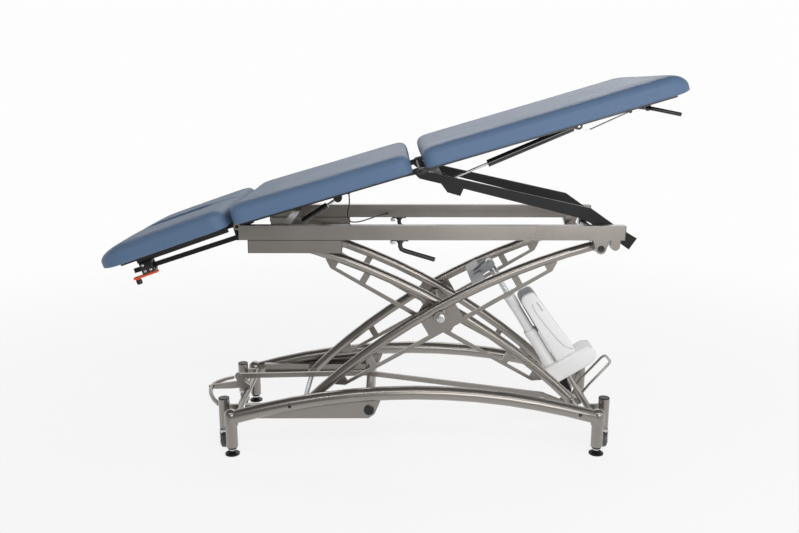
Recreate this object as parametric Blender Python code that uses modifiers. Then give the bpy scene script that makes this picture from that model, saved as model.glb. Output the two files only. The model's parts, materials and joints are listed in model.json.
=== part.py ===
"""Electric therapy couch: a three-section upholstered top on a scissor lift with a linear actuator.

Metres, +Z up, +X towards the leg end, +Y away from the near side. The floor is Z = 0.
Each moving group hangs on an empty that sits on its joint axis.
"""

import math

import bmesh
import bpy
from mathutils import Matrix, Vector

# Fits and round-offs
GAP = 0.0003
RUN = 0.0004
FACE = 0.001
SIDES = 16
FINE = 18

# Base
BASE_TUBE = 0.025
BASE_Y = 0.256
ARCH_TOP = 0.235
ARCH_MID = 0.092
ARCH_CURVE = 0.22
FOOT_LEFT = -0.566
FOOT_RIGHT = 0.7506
SLEEVE = 0.021
SLEEVE_LOW = 0.030
SLEEVE_SEAM = 0.110
DOME_TOP = 0.173
FOOT_DISC = 0.0265
FOOT_DISC_H = 0.012
FOOT_THREAD = 0.006
FOOT_THREAD_TOP = 0.060
CROSS_X = -0.072
CROSS_Z = 0.169
CROSS_TUBE = 0.019
CROSS_CAP = 0.004

# Castor gear
CASTOR_LEFT = -0.603
CASTOR_RIGHT = 0.787
CASTOR_Y = 0.190
CASTOR_SLEEVE = 0.020
CASTOR_SLEEVE_LOW = 0.074
CASTOR_SLEEVE_TOP = 0.187
CASTOR_SHAFT = 0.0125
SHAFT_LEFT = -0.550
SHAFT_RIGHT = 0.735
WHEEL = 0.028
WHEEL_W = 0.022
WHEEL_CLEAR = 0.004
WHEEL_TRAIL = 0.012
AXLE = 0.004
FORK_WALL = 0.003
STEM = 0.006
STEM_TOP = 0.118
CRANK_RISE = 0.060
CRANK_BACK = 0.035
LINK_H = 0.018
LINK_W = 0.012
LINK_KNEE_X = -0.087
LINK_KNEE_RISE = 0.011
LINK_TOE_X = 0.596
LINK_TOE_Z = 0.126
PEDAL_REACH = 0.138
PEDAL_W = 0.012
PEDAL_BAR = 0.008
PEDAL_BOW = ((0.002, 0.0155, 0.0), (0.0, 0.015, 0.030), (-0.011, 0.010, 0.070), (-0.030, 0.005, 0.110), (-0.053, 0.001, 0.140))
WIRE = 0.005
WIRE_HALF = 0.0465
WIRE_TIP = (0.845, 0.275)
WIRE_KNEE = (0.765, 0.185)

# Scissor lift
PIVOT_LOW = (0.681, 0.157)
ARM_HALF = 0.602
ARM_LOW = math.radians(34.2)
ARM_HIGH = math.radians(25.9)
ARM_TUBE = 0.018
ARM_SAG = 0.0776
ARM_WEB = 0.008
ARM_STRIP = 0.015
ARM_STRIP_END = 0.455
ARM_POST = 0.300
OUTER_Y = 0.186
INNER_Y = 0.142
EYE = 0.021
EYE_HALF = 0.020
PIN = 0.010
BOLT_HEAD = 0.007
LIFT_DROP = math.radians(18.0)
ROLLER_LOW = 0.0155
ROLLER_HIGH = 0.0125
GUIDE_PLAY = 0.0005
GUIDE_WALL = 0.004
GUIDE_FLANGE = 0.023

# Actuator, along its own axis from the low pivot
CLEVIS_ALONG = 0.2446
CLEVIS_UP = 0.083
CLEVIS_EAR = 0.018
CLEVIS_GAP = 0.019
BRACKET_FROM = 0.155
BRACKET_TO = 0.205
BRACKET_T = 0.022
ROD_EYE = 0.016
ROD_EYE_HALF = 0.015
ROD = 0.011
PISTON = 0.019
PISTON_FROM = 0.192
PISTON_TO = 0.436
COVER_TUBE = 0.024
COVER_TO = 0.277
BORE_FROM = 0.025
MOTOR_FROM = 0.044
MOTOR_TO = 0.120
MOTOR_BACK = -0.172
MOTOR_FRONT = 0.030
MOTOR_HALF = 0.045
BOX_TO = 0.418
BOX_TOP_OUTER = -0.088
BOX_OUTER = -0.110
BOX_HALF = 0.048

# Top frame
RAIL_OUTER = 0.2644
RAIL_W = 0.030
RAIL_H = 0.050
RAIL_LENGTH = 1.314
RAIL_PAST_PIVOT = 0.0795
RAIL_OVER_PIVOT = 0.0796
PIVOT_BLOCK = 0.058
PIVOT_BLOCK_R = 0.019
UPPER_GUIDE_FROM = 0.031
UPPER_GUIDE_TO = 0.348
UPPER_GUIDE_W = 0.040
UPPER_GUIDE_BACK = 0.002
UPPER_GUIDE_WALL = 0.003
CROSS_LEFT_FROM = 0.130
CROSS_LEFT_W = 0.030
CROSS_LEFT_H = 0.030
ROLLER_TUBE = 0.0125
ROLLER_TUBE_BACK = 0.029
ROLLER_TUBE_DROP = 0.072
ROLLER_EAR_R = 0.0155
ROLLER_EAR_W = 0.024

# Sections: hinges, boards and pads
HINGE_OVER_RAIL = -0.004
HINGE_PAST_RAIL = 0.005
HINGE_EYE = 0.012
HINGE_PIN = 0.006
MID_TILT = math.radians(16.49)
MID_SPAN = 0.6466
LEG_TILT = math.radians(16.4)
HEAD_TILT = math.radians(19.3)
HEAD_HINGE_BACK = 0.0235
MID_UP = math.radians(2.0)
PAD_LIFT = 0.013
PAD_HALF = 0.350
PAD_HEIGHT = 0.066
PAD_CROWN = 0.002
PAD_PULL = 0.002
PAD_ROLL = 0.028
PAD_CORNER = 0.040
PAD_END_CORNER = 0.070
HEAD_END_CORNER = 0.100
BOARD_T = 0.008
BOARD_HALF = 0.300
MID_PAD_FROM = 0.003
MID_PAD_SHORT = 0.0216
LEG_PAD = (0.019, 0.9139)
HEAD_PAD = (-0.4482, 0.009)
FACE_HOLE = (-0.345, -0.105)
FACE_HOLE_HALF = 0.045
LEG_BOARD_INSET = 0.0469
HEAD_BOARD_INSET = 0.0632
MID_EAR_Y = 0.2195
MID_EAR_W = 0.028
LEG_MID_EAR_Y = 0.180
EAR_W = 0.016
HEAD_EAR_Y = 0.150
HEAD_LUG_Y = 0.170

# Leg lift frame
FRAME_Y = 0.205
FRAME_W = 0.020
FRAME_TOP = 0.003
FRAME_LOW = 0.025
FRAME_KNEE_LOW = 0.0375
FRAME_ROLLER_DROP = 0.1018
FRAME_KNEE_BACK = 0.1034
FRAME_TIP_PAST_ROLLER = (0.0786, 0.0378)
FRAME_TAIL_PAST_ROLLER = (0.0616, -0.0062)
TAB = ((0.080, -0.026), (0.107, -0.050), (0.154, -0.053), (0.159, -0.026))
FRAME_CROSS_FROM = 0.055
FRAME_CROSS_TO = 0.085

# Gas springs
LEG_SPRING_Y = 0.068
LEG_SPRING_LOW = (0.128, -0.034)
LEG_SPRING_HIGH = (0.610, -0.032)
LEG_SPRING_TUBE = 0.014
LEG_SPRING_CASE = 0.340
MID_SPRING_LOW = (0.180, -0.031)
MID_SPRING_HIGH = (0.330, -0.032)
MID_SPRING_TUBE = 0.011
MID_SPRING_CASE = 0.105
SPRING_ROD = 0.005
SPRING_EYE = 0.010
SPRING_EYE_HALF = 0.008
SPRING_PIN = 0.004
CHEEK_GAP = 0.011
CHEEK_T = 0.005
CHEEK_R = 0.015

# Hand controls
LEG_HANDLE = (0.792, -0.0116)
LEG_HANDLE_TIP = (0.885, -0.060)
LEG_HANDLE_Y = -0.240
LEG_HANDLE_ROD = 0.0065
LEG_CRANK = (0.807, -0.036)
LEG_CAM = (0.641, -0.060)
LINK_ROD = 0.003
LEVER_PAST_PIVOT = -0.6865
LEVER_Y = 0.250
LEVER_STEM = 0.008
LEVER_DROP = 0.037
LEVER_REACH = 0.119
LEVER_TIP_DROP = 0.070
LEVER_COLLAR = 0.012
STRUT_PIVOT = (-0.023, -0.042)
STRUT_Y = -0.200
STRUT_H = 0.016
STRUT_W = 0.012
STRUT_REACH = 0.385
CLAMP_AT = -0.335
CLAMP_L = 0.045
CLAMP_H = 0.040
CLAMP_W = 0.044
BAR_H = 0.020
BAR_W = 0.014
CLAMP_LEVER_L = 0.070

# Release cable: each point past the middle hinge, as a share of the way across, and over the hinge
CABLE = 0.0025
CABLE_FROM_Y = 0.020
CABLE_STAND = 0.0179
CABLE_RUN = (
    (0.3649, 0.0, 0.0741),
    (0.3659, 0.0, 0.0541),
    (0.3649, 0.005, 0.0311),
    (0.3589, 0.025, 0.0041),
    (0.3609, 0.076, -0.0219),
    (0.3749, 0.178, -0.0359),
    (0.4029, 0.382, -0.0399),
    (0.4389, 0.636, -0.0369),
    (0.4699, 0.840, -0.0319),
    (0.4949, 0.962, -0.0289),
    (0.5089, 1.0, -0.0279),
)
CABLE_ANCHOR = 0.006
CABLE_STEP = 0.010

FINISHES = {
    "powder_coat": ((0.262, 0.231, 0.205), 0.34, 0.75),
    "zinc": ((0.60, 0.61, 0.62), 0.28, 1.0),
    "dark_coat": ((0.040, 0.040, 0.044), 0.45, 0.2),
    "black_plastic": ((0.012, 0.012, 0.013), 0.45, 0.0),
    "actuator_grey": ((0.68, 0.68, 0.66), 0.42, 0.0),
    "upholstery": ((0.095, 0.170, 0.320), 0.38, 0.0),
    "wheel_rubber": ((0.20, 0.20, 0.21), 0.60, 0.0),
    "lever_orange": ((0.80, 0.10, 0.015), 0.40, 0.0),
}

SIDE_SIGN = {"near": -1.0, "far": 1.0}
END_SIGN = {"left": -1.0, "right": 1.0}


def arch(x):
    """Height of the base tube's centre line."""
    return ARCH_TOP - ARCH_CURVE * (x - ARCH_MID) ** 2


def turned_by(point, angle):
    """A side-view vector turned anticlockwise as the near side sees it."""
    c, s = math.cos(angle), math.sin(angle)
    return (c * point[0] - s * point[1], s * point[0] + c * point[1])


def added(a, b):
    return (a[0] + b[0], a[1] + b[1])


def away(a, b):
    return (b[0] - a[0], b[1] - a[1])


# Positions that follow from the driving dimensions
BEND = (ARM_LOW - ARM_HIGH) / 2
CHORD_TILT = (ARM_LOW + ARM_HIGH) / 2
HALF_CHORD = ARM_HALF * math.cos(BEND)
RISE = ARM_HALF * math.sin(BEND)
CENTRE = added(PIVOT_LOW, (-ARM_HALF * math.cos(ARM_LOW), ARM_HALF * math.sin(ARM_LOW)))
PIVOT_HIGH = added(CENTRE, (ARM_HALF * math.cos(ARM_HIGH), ARM_HALF * math.sin(ARM_HIGH)))
SLIDE_LOW = 2 * CENTRE[0] - PIVOT_LOW[0]
SLIDE_HIGH = 2 * CENTRE[0] - PIVOT_HIGH[0]
SLIDE_LOW_END = PIVOT_LOW[0] - 2 * ARM_HALF * math.cos(ARM_LOW - LIFT_DROP)
RAIL_RIGHT = PIVOT_HIGH[0] + RAIL_PAST_PIVOT
RAIL_LEFT = RAIL_RIGHT - RAIL_LENGTH
RAIL_TOP = PIVOT_HIGH[1] + RAIL_OVER_PIVOT
RAIL_LOW = RAIL_TOP - RAIL_H
RAIL_INNER = RAIL_OUTER - RAIL_W
MID_HINGE = (RAIL_LEFT - HINGE_PAST_RAIL, RAIL_TOP + HINGE_OVER_RAIL)
LEG_HINGE = added(MID_HINGE, turned_by((MID_SPAN, 0.0), MID_TILT))
HEAD_HINGE = added(MID_HINGE, turned_by((-HEAD_HINGE_BACK, 0.0), MID_TILT))
ROLLER_TUBE_AT = (RAIL_RIGHT - ROLLER_TUBE_BACK, RAIL_TOP - ROLLER_TUBE_DROP)
MID_PAD = (MID_PAD_FROM, MID_SPAN - MID_PAD_SHORT)
LEG_EAR_Y = RAIL_INNER - FACE - EAR_W / 2
SHAFT_HALF = RAIL_INNER - FACE
ROLLER_RUN = away(LEG_HINGE, ROLLER_TUBE_AT)
ROLLER_SPAN = math.hypot(*ROLLER_RUN)
FRAME_TILT = math.atan2(-ROLLER_RUN[1], ROLLER_RUN[0]) - math.asin(FRAME_ROLLER_DROP / ROLLER_SPAN)
ROLLER_IN_FRAME = turned_by(ROLLER_RUN, FRAME_TILT)
FRAME_KNEE = ROLLER_IN_FRAME[0] - FRAME_KNEE_BACK
FRAME_TIP = added(ROLLER_IN_FRAME, FRAME_TIP_PAST_ROLLER)
FRAME_TAIL_LOW = added(ROLLER_IN_FRAME, FRAME_TAIL_PAST_ROLLER)
BOARD_LOW = PAD_LIFT - GAP - BOARD_T
CLEVIS = added(CENTRE, turned_by((CLEVIS_ALONG, CLEVIS_UP - RISE), CHORD_TILT))
ACTUATOR_SPAN = math.dist(PIVOT_LOW, CLEVIS)
ACTUATOR_TILT = math.atan2(CLEVIS[1] - PIVOT_LOW[1], CLEVIS[0] - PIVOT_LOW[0])
FRAME_PER_MID = -(MID_TILT + FRAME_TILT) / MID_TILT
LEG_SPRING_LOW_W = added(LEG_HINGE, turned_by(LEG_SPRING_LOW, -FRAME_TILT))
LEG_SPRING_HIGH_W = added(LEG_HINGE, turned_by(LEG_SPRING_HIGH, LEG_TILT))
MID_SPRING_LOW_W = added(MID_HINGE, MID_SPRING_LOW)
MID_SPRING_HIGH_W = added(MID_HINGE, turned_by(MID_SPRING_HIGH, MID_TILT))
GUIDE_INNER = BASE_Y - BASE_TUBE - GAP - GUIDE_FLANGE
BOX_FROM = MOTOR_TO + GAP
BOX_INNER = -COVER_TUBE - FACE
UPPER_GUIDE_OUTER = RAIL_OUTER - UPPER_GUIDE_BACK
UPPER_GUIDE_INNER = RAIL_OUTER - UPPER_GUIDE_W
CABLE_ACROSS = RAIL_INNER - CABLE_STAND - CABLE_FROM_Y
CABLE_ROUTE = [
    (MID_HINGE[0] + past, CABLE_FROM_Y + share * CABLE_ACROSS, MID_HINGE[1] + over) for past, share, over in CABLE_RUN
]


def clear_scene():
    """Remove everything the scene starts with."""
    for obj in list(bpy.data.objects):
        bpy.data.objects.remove(obj, do_unlink=True)


def collection(name):
    made = bpy.data.collections.new(name)
    bpy.context.scene.collection.children.link(made)
    return made


def material(name):
    """One plain Principled material for a finish."""
    colour, roughness, metallic = FINISHES[name]
    made = bpy.data.materials.new(name)
    made.use_nodes = True
    shader = made.node_tree.nodes["Principled BSDF"]
    shader.inputs["Base Color"].default_value = (*colour, 1.0)
    shader.inputs["Roughness"].default_value = roughness
    shader.inputs["Metallic"].default_value = metallic
    return made


def loose(mesh):
    """A helper object around a mesh, used while a piece is put together."""
    obj = bpy.data.objects.new("helper", mesh)
    bpy.context.scene.collection.objects.link(obj)
    return obj


def meshed(obj):
    """The evaluated object as a plain welded mesh, with the object removed."""
    graph = bpy.context.evaluated_depsgraph_get()
    mesh = bpy.data.meshes.new_from_object(obj.evaluated_get(graph))
    bm = bmesh.new()
    bm.from_mesh(mesh)
    bmesh.ops.transform(bm, matrix=obj.matrix_world, verts=bm.verts)
    bmesh.ops.remove_doubles(bm, verts=bm.verts, dist=1e-6)
    bmesh.ops.recalc_face_normals(bm, faces=bm.faces)
    bm.to_mesh(mesh)
    bm.free()
    bpy.data.objects.remove(obj, do_unlink=True)
    return mesh


def from_bmesh(bm):
    mesh = bpy.data.meshes.new("piece")
    bm.to_mesh(mesh)
    bm.free()
    return mesh


def block(low, high):
    """A box between two corners."""
    bm = bmesh.new()
    bmesh.ops.create_cube(bm, size=1.0)
    size = Vector(high) - Vector(low)
    place = Matrix.Translation((Vector(low) + Vector(high)) / 2) @ Matrix.Diagonal((*size, 1.0))
    bmesh.ops.transform(bm, matrix=place, verts=bm.verts)
    return from_bmesh(bm)


def soft_block(low, high, round_off):
    """A box with bevelled edges."""
    bm = bmesh.new()
    bm.from_mesh(block(low, high))
    bmesh.ops.bevel(bm, geom=bm.edges, offset=round_off, segments=2, profile=0.5, affect="EDGES")
    return from_bmesh(bm)


def rod(start, end, radius, sides=SIDES, end_radius=None):
    """A round bar between two points."""
    start, end = Vector(start), Vector(end)
    axis = end - start
    bm = bmesh.new()
    bmesh.ops.create_cone(
        bm,
        cap_ends=True,
        segments=sides,
        radius1=radius,
        radius2=radius if end_radius is None else end_radius,
        depth=axis.length,
    )
    place = Matrix.Translation((start + end) / 2) @ axis.to_track_quat("Z", "Y").to_matrix().to_4x4()
    bmesh.ops.transform(bm, matrix=place, verts=bm.verts)
    return from_bmesh(bm)


def across(at, y_from, y_to, radius, sides=SIDES):
    """A round bar along Y at a side-view point."""
    return rod((at[0], y_from, at[1]), (at[0], y_to, at[1]), radius, sides)


def tube(points, radius, resolution=4):
    """A bent round tube along a run of points."""
    data = bpy.data.curves.new("run", "CURVE")
    data.dimensions = "3D"
    data.bevel_depth = radius
    data.bevel_resolution = resolution
    data.use_fill_caps = True
    spline = data.splines.new("POLY")
    spline.points.add(len(points) - 1)
    for knot, point in zip(spline.points, points):
        knot.co = (*point, 1.0)
    return meshed(loose(data))


def plate(outline, y_low, y_high, holes=()):
    """A flat plate drawn in side view, with holes, between two depths."""
    data = bpy.data.curves.new("outline", "CURVE")
    data.dimensions = "2D"
    data.fill_mode = "BOTH"
    data.extrude = (y_high - y_low) / 2
    for ring in (outline, *holes):
        spline = data.splines.new("POLY")
        spline.points.add(len(ring) - 1)
        spline.use_cyclic_u = True
        for knot, point in zip(spline.points, ring):
            knot.co = (point[0], point[1], 0.0, 1.0)
    obj = loose(data)
    obj.matrix_world = Matrix.Translation((0, (y_low + y_high) / 2, 0)) @ Matrix.Rotation(math.pi / 2, 4, "X")
    bpy.context.view_layer.update()
    return meshed(obj)


def turned(profile, at, steps=FINE):
    """A turned shape about a vertical axis; the profile runs down its outer side."""
    bm = bmesh.new()
    knots = [bm.verts.new((radius, 0.0, height)) for radius, height in profile]
    for first, second in zip(knots, knots[1:]):
        bm.edges.new((first, second))
    obj = loose(from_bmesh(bm))
    screw = obj.modifiers.new("turn", "SCREW")
    screw.steps = steps
    screw.render_steps = steps
    screw.use_merge_vertices = True
    screw.merge_threshold = 1e-5
    obj.matrix_world = Matrix.Translation(at)
    bpy.context.view_layer.update()
    return meshed(obj)


def ring_about_x(section, steps):
    """A closed ring about the X axis; the section is a loop of (x, radius) points."""
    bm = bmesh.new()
    loops = []
    for i in range(steps):
        angle = 2 * math.pi * i / steps
        loops.append([bm.verts.new((x, r * math.cos(angle), r * math.sin(angle))) for x, r in section])
    for i, loop in enumerate(loops):
        after = loops[(i + 1) % steps]
        for j in range(len(section)):
            k = (j + 1) % len(section)
            bm.faces.new((loop[j], loop[k], after[k], after[j]))
    bmesh.ops.recalc_face_normals(bm, faces=bm.faces)
    return from_bmesh(bm)


def arc_points(centre, radius, start, end, count):
    """Points along an arc, angles in degrees."""
    out = []
    for i in range(count + 1):
        angle = math.radians(start + (end - start) * i / count)
        out.append((centre[0] + radius * math.cos(angle), centre[1] + radius * math.sin(angle)))
    return out


def lug(eye, radius, root_a, root_b):
    """Outline of an ear: a round end about an eye, running to a straight root."""
    root = ((root_a[0] + root_b[0]) / 2, (root_a[1] + root_b[1]) / 2)
    ahead, aside = away(root, eye), away(root, root_a)
    if ahead[0] * aside[1] - ahead[1] * aside[0] > 0:
        root_a, root_b = root_b, root_a
    heading = math.degrees(math.atan2(ahead[1], ahead[0]))
    return [root_a, *arc_points(eye, radius, heading - 90, heading + 90, 6), root_b]


def joined(pieces, cuts=()):
    """One mesh from overlapping pieces, less the cuts."""
    first = loose(pieces[0])
    helpers = []
    for group, operation in ((pieces[1:], "UNION"), (cuts, "DIFFERENCE")):
        for mesh in group:
            other = loose(mesh)
            helpers.append(other)
            step = first.modifiers.new(operation.lower(), "BOOLEAN")
            step.operation = operation
            step.solver = "EXACT"
            step.object = other
    bpy.context.view_layer.update()
    mesh = meshed(first)
    for other in helpers:
        bpy.data.objects.remove(other, do_unlink=True)
    return mesh


class Couch:
    """Collects the nodes, the finishes and the empties on the joint axes."""

    def __init__(self):
        self.parts = collection("therapy_couch")
        self.finishes = {name: material(name) for name in FINISHES}
        self.bodies = {}

    def body(self, name, at, tilt=0.0, depth=0.0, parent=None):
        """An empty on a joint axis, tilted in side view."""
        empty = bpy.data.objects.new(f"axis_{name}", None)
        self.parts.objects.link(empty)
        place = Matrix.Translation((at[0], depth, at[1])) @ Matrix.Rotation(-tilt, 4, "Y")
        if parent:
            empty.parent = self.bodies[parent]
            empty.matrix_parent_inverse = self.bodies[parent].matrix_world.inverted()
        empty.matrix_world = place
        bpy.context.view_layer.update()
        self.bodies[name] = empty

    def node(self, name, body, finish, pieces, cuts=()):
        """One named solid, drawn in its body's own frame."""
        mesh = joined(pieces, cuts) if len(pieces) > 1 or cuts else pieces[0]
        mesh.name = name
        mesh.materials.clear()
        mesh.materials.append(self.finishes[finish])
        mesh.shade_smooth()
        mesh.set_sharp_from_angle(angle=math.radians(35))
        obj = bpy.data.objects.new(name, mesh)
        obj.parent = self.bodies[body]
        self.parts.objects.link(obj)
        return obj


def build_base(couch):
    """Side tubes on levelling feet, the cross tube, the lower guides and the low pivot shaft."""
    couch.body("base", (0.0, 0.0))
    collar = SLEEVE_SEAM + 0.002
    sleeve_profile = (
        (0.0, DOME_TOP),
        (0.012, DOME_TOP - 0.002),
        (0.020, DOME_TOP - 0.008),
        (BASE_TUBE, DOME_TOP - 0.018),
        (BASE_TUBE, collar),
        (SLEEVE, SLEEVE_SEAM),
        (SLEEVE, SLEEVE_LOW),
        (FOOT_THREAD + RUN, SLEEVE_LOW),
        (FOOT_THREAD + RUN, FOOT_THREAD_TOP + 0.005),
        (0.0, FOOT_THREAD_TOP + 0.005),
    )
    ring_low = SLEEVE_LOW - GAP - 0.007
    foot_profile = (
        (0.0, FOOT_THREAD_TOP),
        (FOOT_THREAD, FOOT_THREAD_TOP - 0.001),
        (FOOT_THREAD, SLEEVE_LOW - GAP),
        (SLEEVE * 0.8, SLEEVE_LOW - GAP),
        (SLEEVE * 0.8, ring_low),
        (FOOT_THREAD, ring_low),
        (FOOT_THREAD, FOOT_DISC_H + 0.003),
        (FOOT_DISC * 0.55, FOOT_DISC_H),
        (FOOT_DISC, FOOT_DISC_H * 0.4),
        (FOOT_DISC, 0.0),
        (0.0, 0.0),
    )
    steps = 12
    for side, sign in SIDE_SIGN.items():
        y = sign * BASE_Y
        run = [FOOT_LEFT + (FOOT_RIGHT - FOOT_LEFT) * i / steps for i in range(steps + 1)]
        pieces = [tube([(x, y, arch(x)) for x in run], BASE_TUBE)]
        for x in (FOOT_LEFT, FOOT_RIGHT):
            pieces.append(turned(sleeve_profile, (x, y, 0.0), SIDES))
        couch.node(f"base_side_{side}", "base", "powder_coat", pieces)
        for end, x in (("left", FOOT_LEFT), ("right", FOOT_RIGHT)):
            couch.node(f"foot_{side}_{end}", "base", "black_plastic", [turned(foot_profile, (x, y, 0.0), SIDES)])
        build_lower_guide(couch, side, sign)
    half = BASE_Y
    couch.node(
        "base_cross_tube",
        "base",
        "powder_coat",
        [across((CROSS_X, CROSS_Z), -half - CROSS_CAP, half + CROSS_CAP, CROSS_TUBE)],
    )
    reach = BASE_Y - BASE_TUBE - GAP
    couch.node("low_pivot_shaft", "base", "zinc", [across(PIVOT_LOW, -reach, reach, PIN)])


def build_lower_guide(couch, side, sign):
    """Channel under a side tube in which the lower roller runs, with its outer fin."""
    z = PIVOT_LOW[1]
    half = ROLLER_LOW + GUIDE_PLAY
    left = SLIDE_LOW_END - ROLLER_LOW - 0.028
    right = CROSS_X - CROSS_TUBE - 0.009
    end = CROSS_X + 0.042
    heel = CROSS_X - 0.002
    inner = GUIDE_INNER
    outer = GUIDE_INNER + GUIDE_FLANGE
    low = z - half - GUIDE_WALL

    def span(y_a, y_b):
        return sorted((sign * y_a, sign * y_b))

    def bar(x_a, x_b, y_a, y_b, z_a, z_b):
        y_low, y_high = span(y_a, y_b)
        return block((x_a, y_low, z_a), (x_b, y_high, z_b))

    fin_y = BASE_Y - 0.003
    fin_top = []
    count = 6
    tip = ARCH_MID - math.sqrt((ARCH_TOP - BASE_TUBE - low - GUIDE_WALL) / ARCH_CURVE)
    for i in range(count + 1):
        x = tip + (end - tip) * i / count
        fin_top.append((x, arch(x) - BASE_TUBE - 4 * GAP))
    fin = [(heel, low), (heel + 0.022, low + 0.016), *reversed(fin_top), (tip, low)]
    y_low, y_high = span(fin_y - 0.003, fin_y + 0.003)
    pieces = [
        bar(left, right, outer - GUIDE_WALL, outer, low, z + half + GUIDE_WALL),
        bar(left, right, inner, outer - GUIDE_WALL / 2, low, z - half),
        bar(left, right, inner, outer - GUIDE_WALL / 2, z + half, z + half + GUIDE_WALL),
        bar(tip + 0.02, heel - 0.002, outer - GUIDE_WALL / 2, fin_y + 0.001, low, low + GUIDE_WALL),
        plate(fin, y_low, y_high),
    ]
    hole = across((CROSS_X, CROSS_Z), sign * (BASE_Y - 0.06), sign * (BASE_Y + 0.03), CROSS_TUBE + RUN)
    couch.node(f"lower_guide_{side}", "base", "powder_coat", pieces, [hole])


def build_castor_gear(couch):
    """Two turning carriages with their castors, joined by the link bar."""
    shafts = {"left": (SHAFT_LEFT, arch(SHAFT_LEFT)), "right": (SHAFT_RIGHT, arch(SHAFT_RIGHT))}
    sleeves = {"left": CASTOR_LEFT, "right": CASTOR_RIGHT}
    reach = BASE_Y - BASE_TUBE - GAP
    pins = {
        "left": added(shafts["left"], (-CRANK_BACK, CRANK_RISE)),
        "right": added(shafts["right"], (-CRANK_BACK, -CRANK_RISE)),
    }
    crank_y = LINK_W / 2 + RUN
    for end, at in shafts.items():
        couch.body(f"carriage_{end}", at, parent="base")
        sleeve_x = sleeves[end] - at[0]
        pieces = [across((0.0, 0.0), -reach, reach, CASTOR_SHAFT)]
        cuts = []
        for sign in SIDE_SIGN.values():
            y = sign * CASTOR_Y
            pieces.append(
                rod(
                    (sleeve_x, y, CASTOR_SLEEVE_LOW - at[1]),
                    (sleeve_x, y, CASTOR_SLEEVE_TOP - at[1]),
                    CASTOR_SLEEVE,
                )
            )
            x_low, x_high = sorted((0.0, sleeve_x))
            pieces.append(block((x_low, y - 0.005, -0.022), (x_high, y + 0.005, 0.020)))
            cuts.append(
                rod(
                    (sleeve_x, y, CASTOR_SLEEVE_LOW - at[1] - 0.01),
                    (sleeve_x, y, STEM_TOP + 0.004 - at[1]),
                    STEM + RUN,
                )
            )
        pin = away(at, pins[end])
        root = turned_by((0.0, CASTOR_SHAFT), math.atan2(pin[1], pin[0]))
        crank = lug(pin, 0.011, (-root[0], -root[1]), root)
        for y in (crank_y, -crank_y - 0.006):
            pieces.append(plate(crank, y, y + 0.006))
        pieces.append(across(pin, -crank_y - 0.003, crank_y + 0.003, 0.005))
        pieces.extend(build_pedal(end, at))
        couch.node(f"castor_carriage_{end}", f"carriage_{end}", "powder_coat", pieces, cuts)
        for side, sign in SIDE_SIGN.items():
            build_castor(couch, f"{side}_{end}", f"carriage_{end}", sleeves[end], sign)
    build_link_bar(couch, pins)


def build_pedal(end, at):
    """The foot pedal of a carriage: a lever with a bowed bar on the left, a wire loop on the right."""
    if end == "left":
        outline = (
            (-PEDAL_REACH, 0.0235),
            (-0.030, 0.040),
            (-0.012, 0.038),
            (0.010, 0.020),
            (0.010, 0.0),
            (-0.008, 0.0),
            (-0.028, 0.013),
            (-0.058, 0.0095),
            (-PEDAL_REACH, 0.0075),
        )
        bow = [(-PEDAL_REACH - out, -y, z) for out, z, y in reversed(PEDAL_BOW)]
        bow += [(-PEDAL_REACH - out, y, z) for out, z, y in PEDAL_BOW[1:]]
        return [plate(outline, -PEDAL_W / 2, PEDAL_W / 2), tube(bow, PEDAL_BAR, 2)]
    knee, tip = away(at, WIRE_KNEE), away(at, WIRE_TIP)
    bend = 0.018
    near_tip = (tip[0] - bend * 0.7, tip[1] - bend * 0.7)
    half = [
        (0.0, -WIRE_HALF, 0.0),
        (knee[0], -WIRE_HALF, knee[1]),
        (near_tip[0], -WIRE_HALF, near_tip[1]),
        (tip[0] - bend * 0.2, -WIRE_HALF + bend * 0.3, tip[1] - bend * 0.2),
        (tip[0], -WIRE_HALF + bend, tip[1]),
    ]
    run = half + [(x, -y, z) for x, y, z in reversed(half)]
    return [tube(run, WIRE, 2)]


def build_castor(couch, name, carriage, x, sign):
    """A swivelling fork with its wheel; the wheel's axle runs along X at rest."""
    y = sign * CASTOR_Y
    wheel_z = WHEEL + WHEEL_CLEAR
    wheel_y = y + sign * WHEEL_TRAIL
    couch.body(f"swivel_{name}", (x, 0.0), depth=y, parent=carriage)
    head_top = CASTOR_SLEEVE_LOW - GAP
    head_low = head_top - 0.008
    offset = sign * WHEEL_TRAIL
    cheek = WHEEL_W / 2 + 0.0025
    y_low, y_high = sorted((-sign * 0.015, offset + sign * 0.012))
    pieces = [
        block((-cheek - FORK_WALL, y_low, head_low), (cheek + FORK_WALL, y_high, head_top)),
        rod((0, 0, head_low + 0.002), (0, 0, STEM_TOP), STEM),
        rod((-cheek - 0.005, offset, wheel_z), (cheek + 0.005, offset, wheel_z), AXLE),
    ]
    for x_side in (-1, 1):
        x_low, x_high = sorted((x_side * cheek, x_side * (cheek + FORK_WALL)))
        pieces.append(block((x_low, offset - 0.011, wheel_z - 0.010), (x_high, offset + 0.011, head_low + 0.003)))
    couch.node(f"castor_fork_{name}", f"swivel_{name}", "zinc", pieces)
    couch.body(f"wheel_{name}", (x, wheel_z), depth=wheel_y, parent=f"swivel_{name}")
    half = WHEEL_W / 2
    tread = 0.004
    bore = AXLE + RUN
    section = (
        (-half, bore),
        (half, bore),
        (half, WHEEL - tread),
        (half - tread, WHEEL),
        (tread - half, WHEEL),
        (-half, WHEEL - tread),
    )
    wheel = ring_about_x(section, FINE)
    couch.node(f"castor_wheel_{name}", f"wheel_{name}", "wheel_rubber", [wheel])


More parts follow.
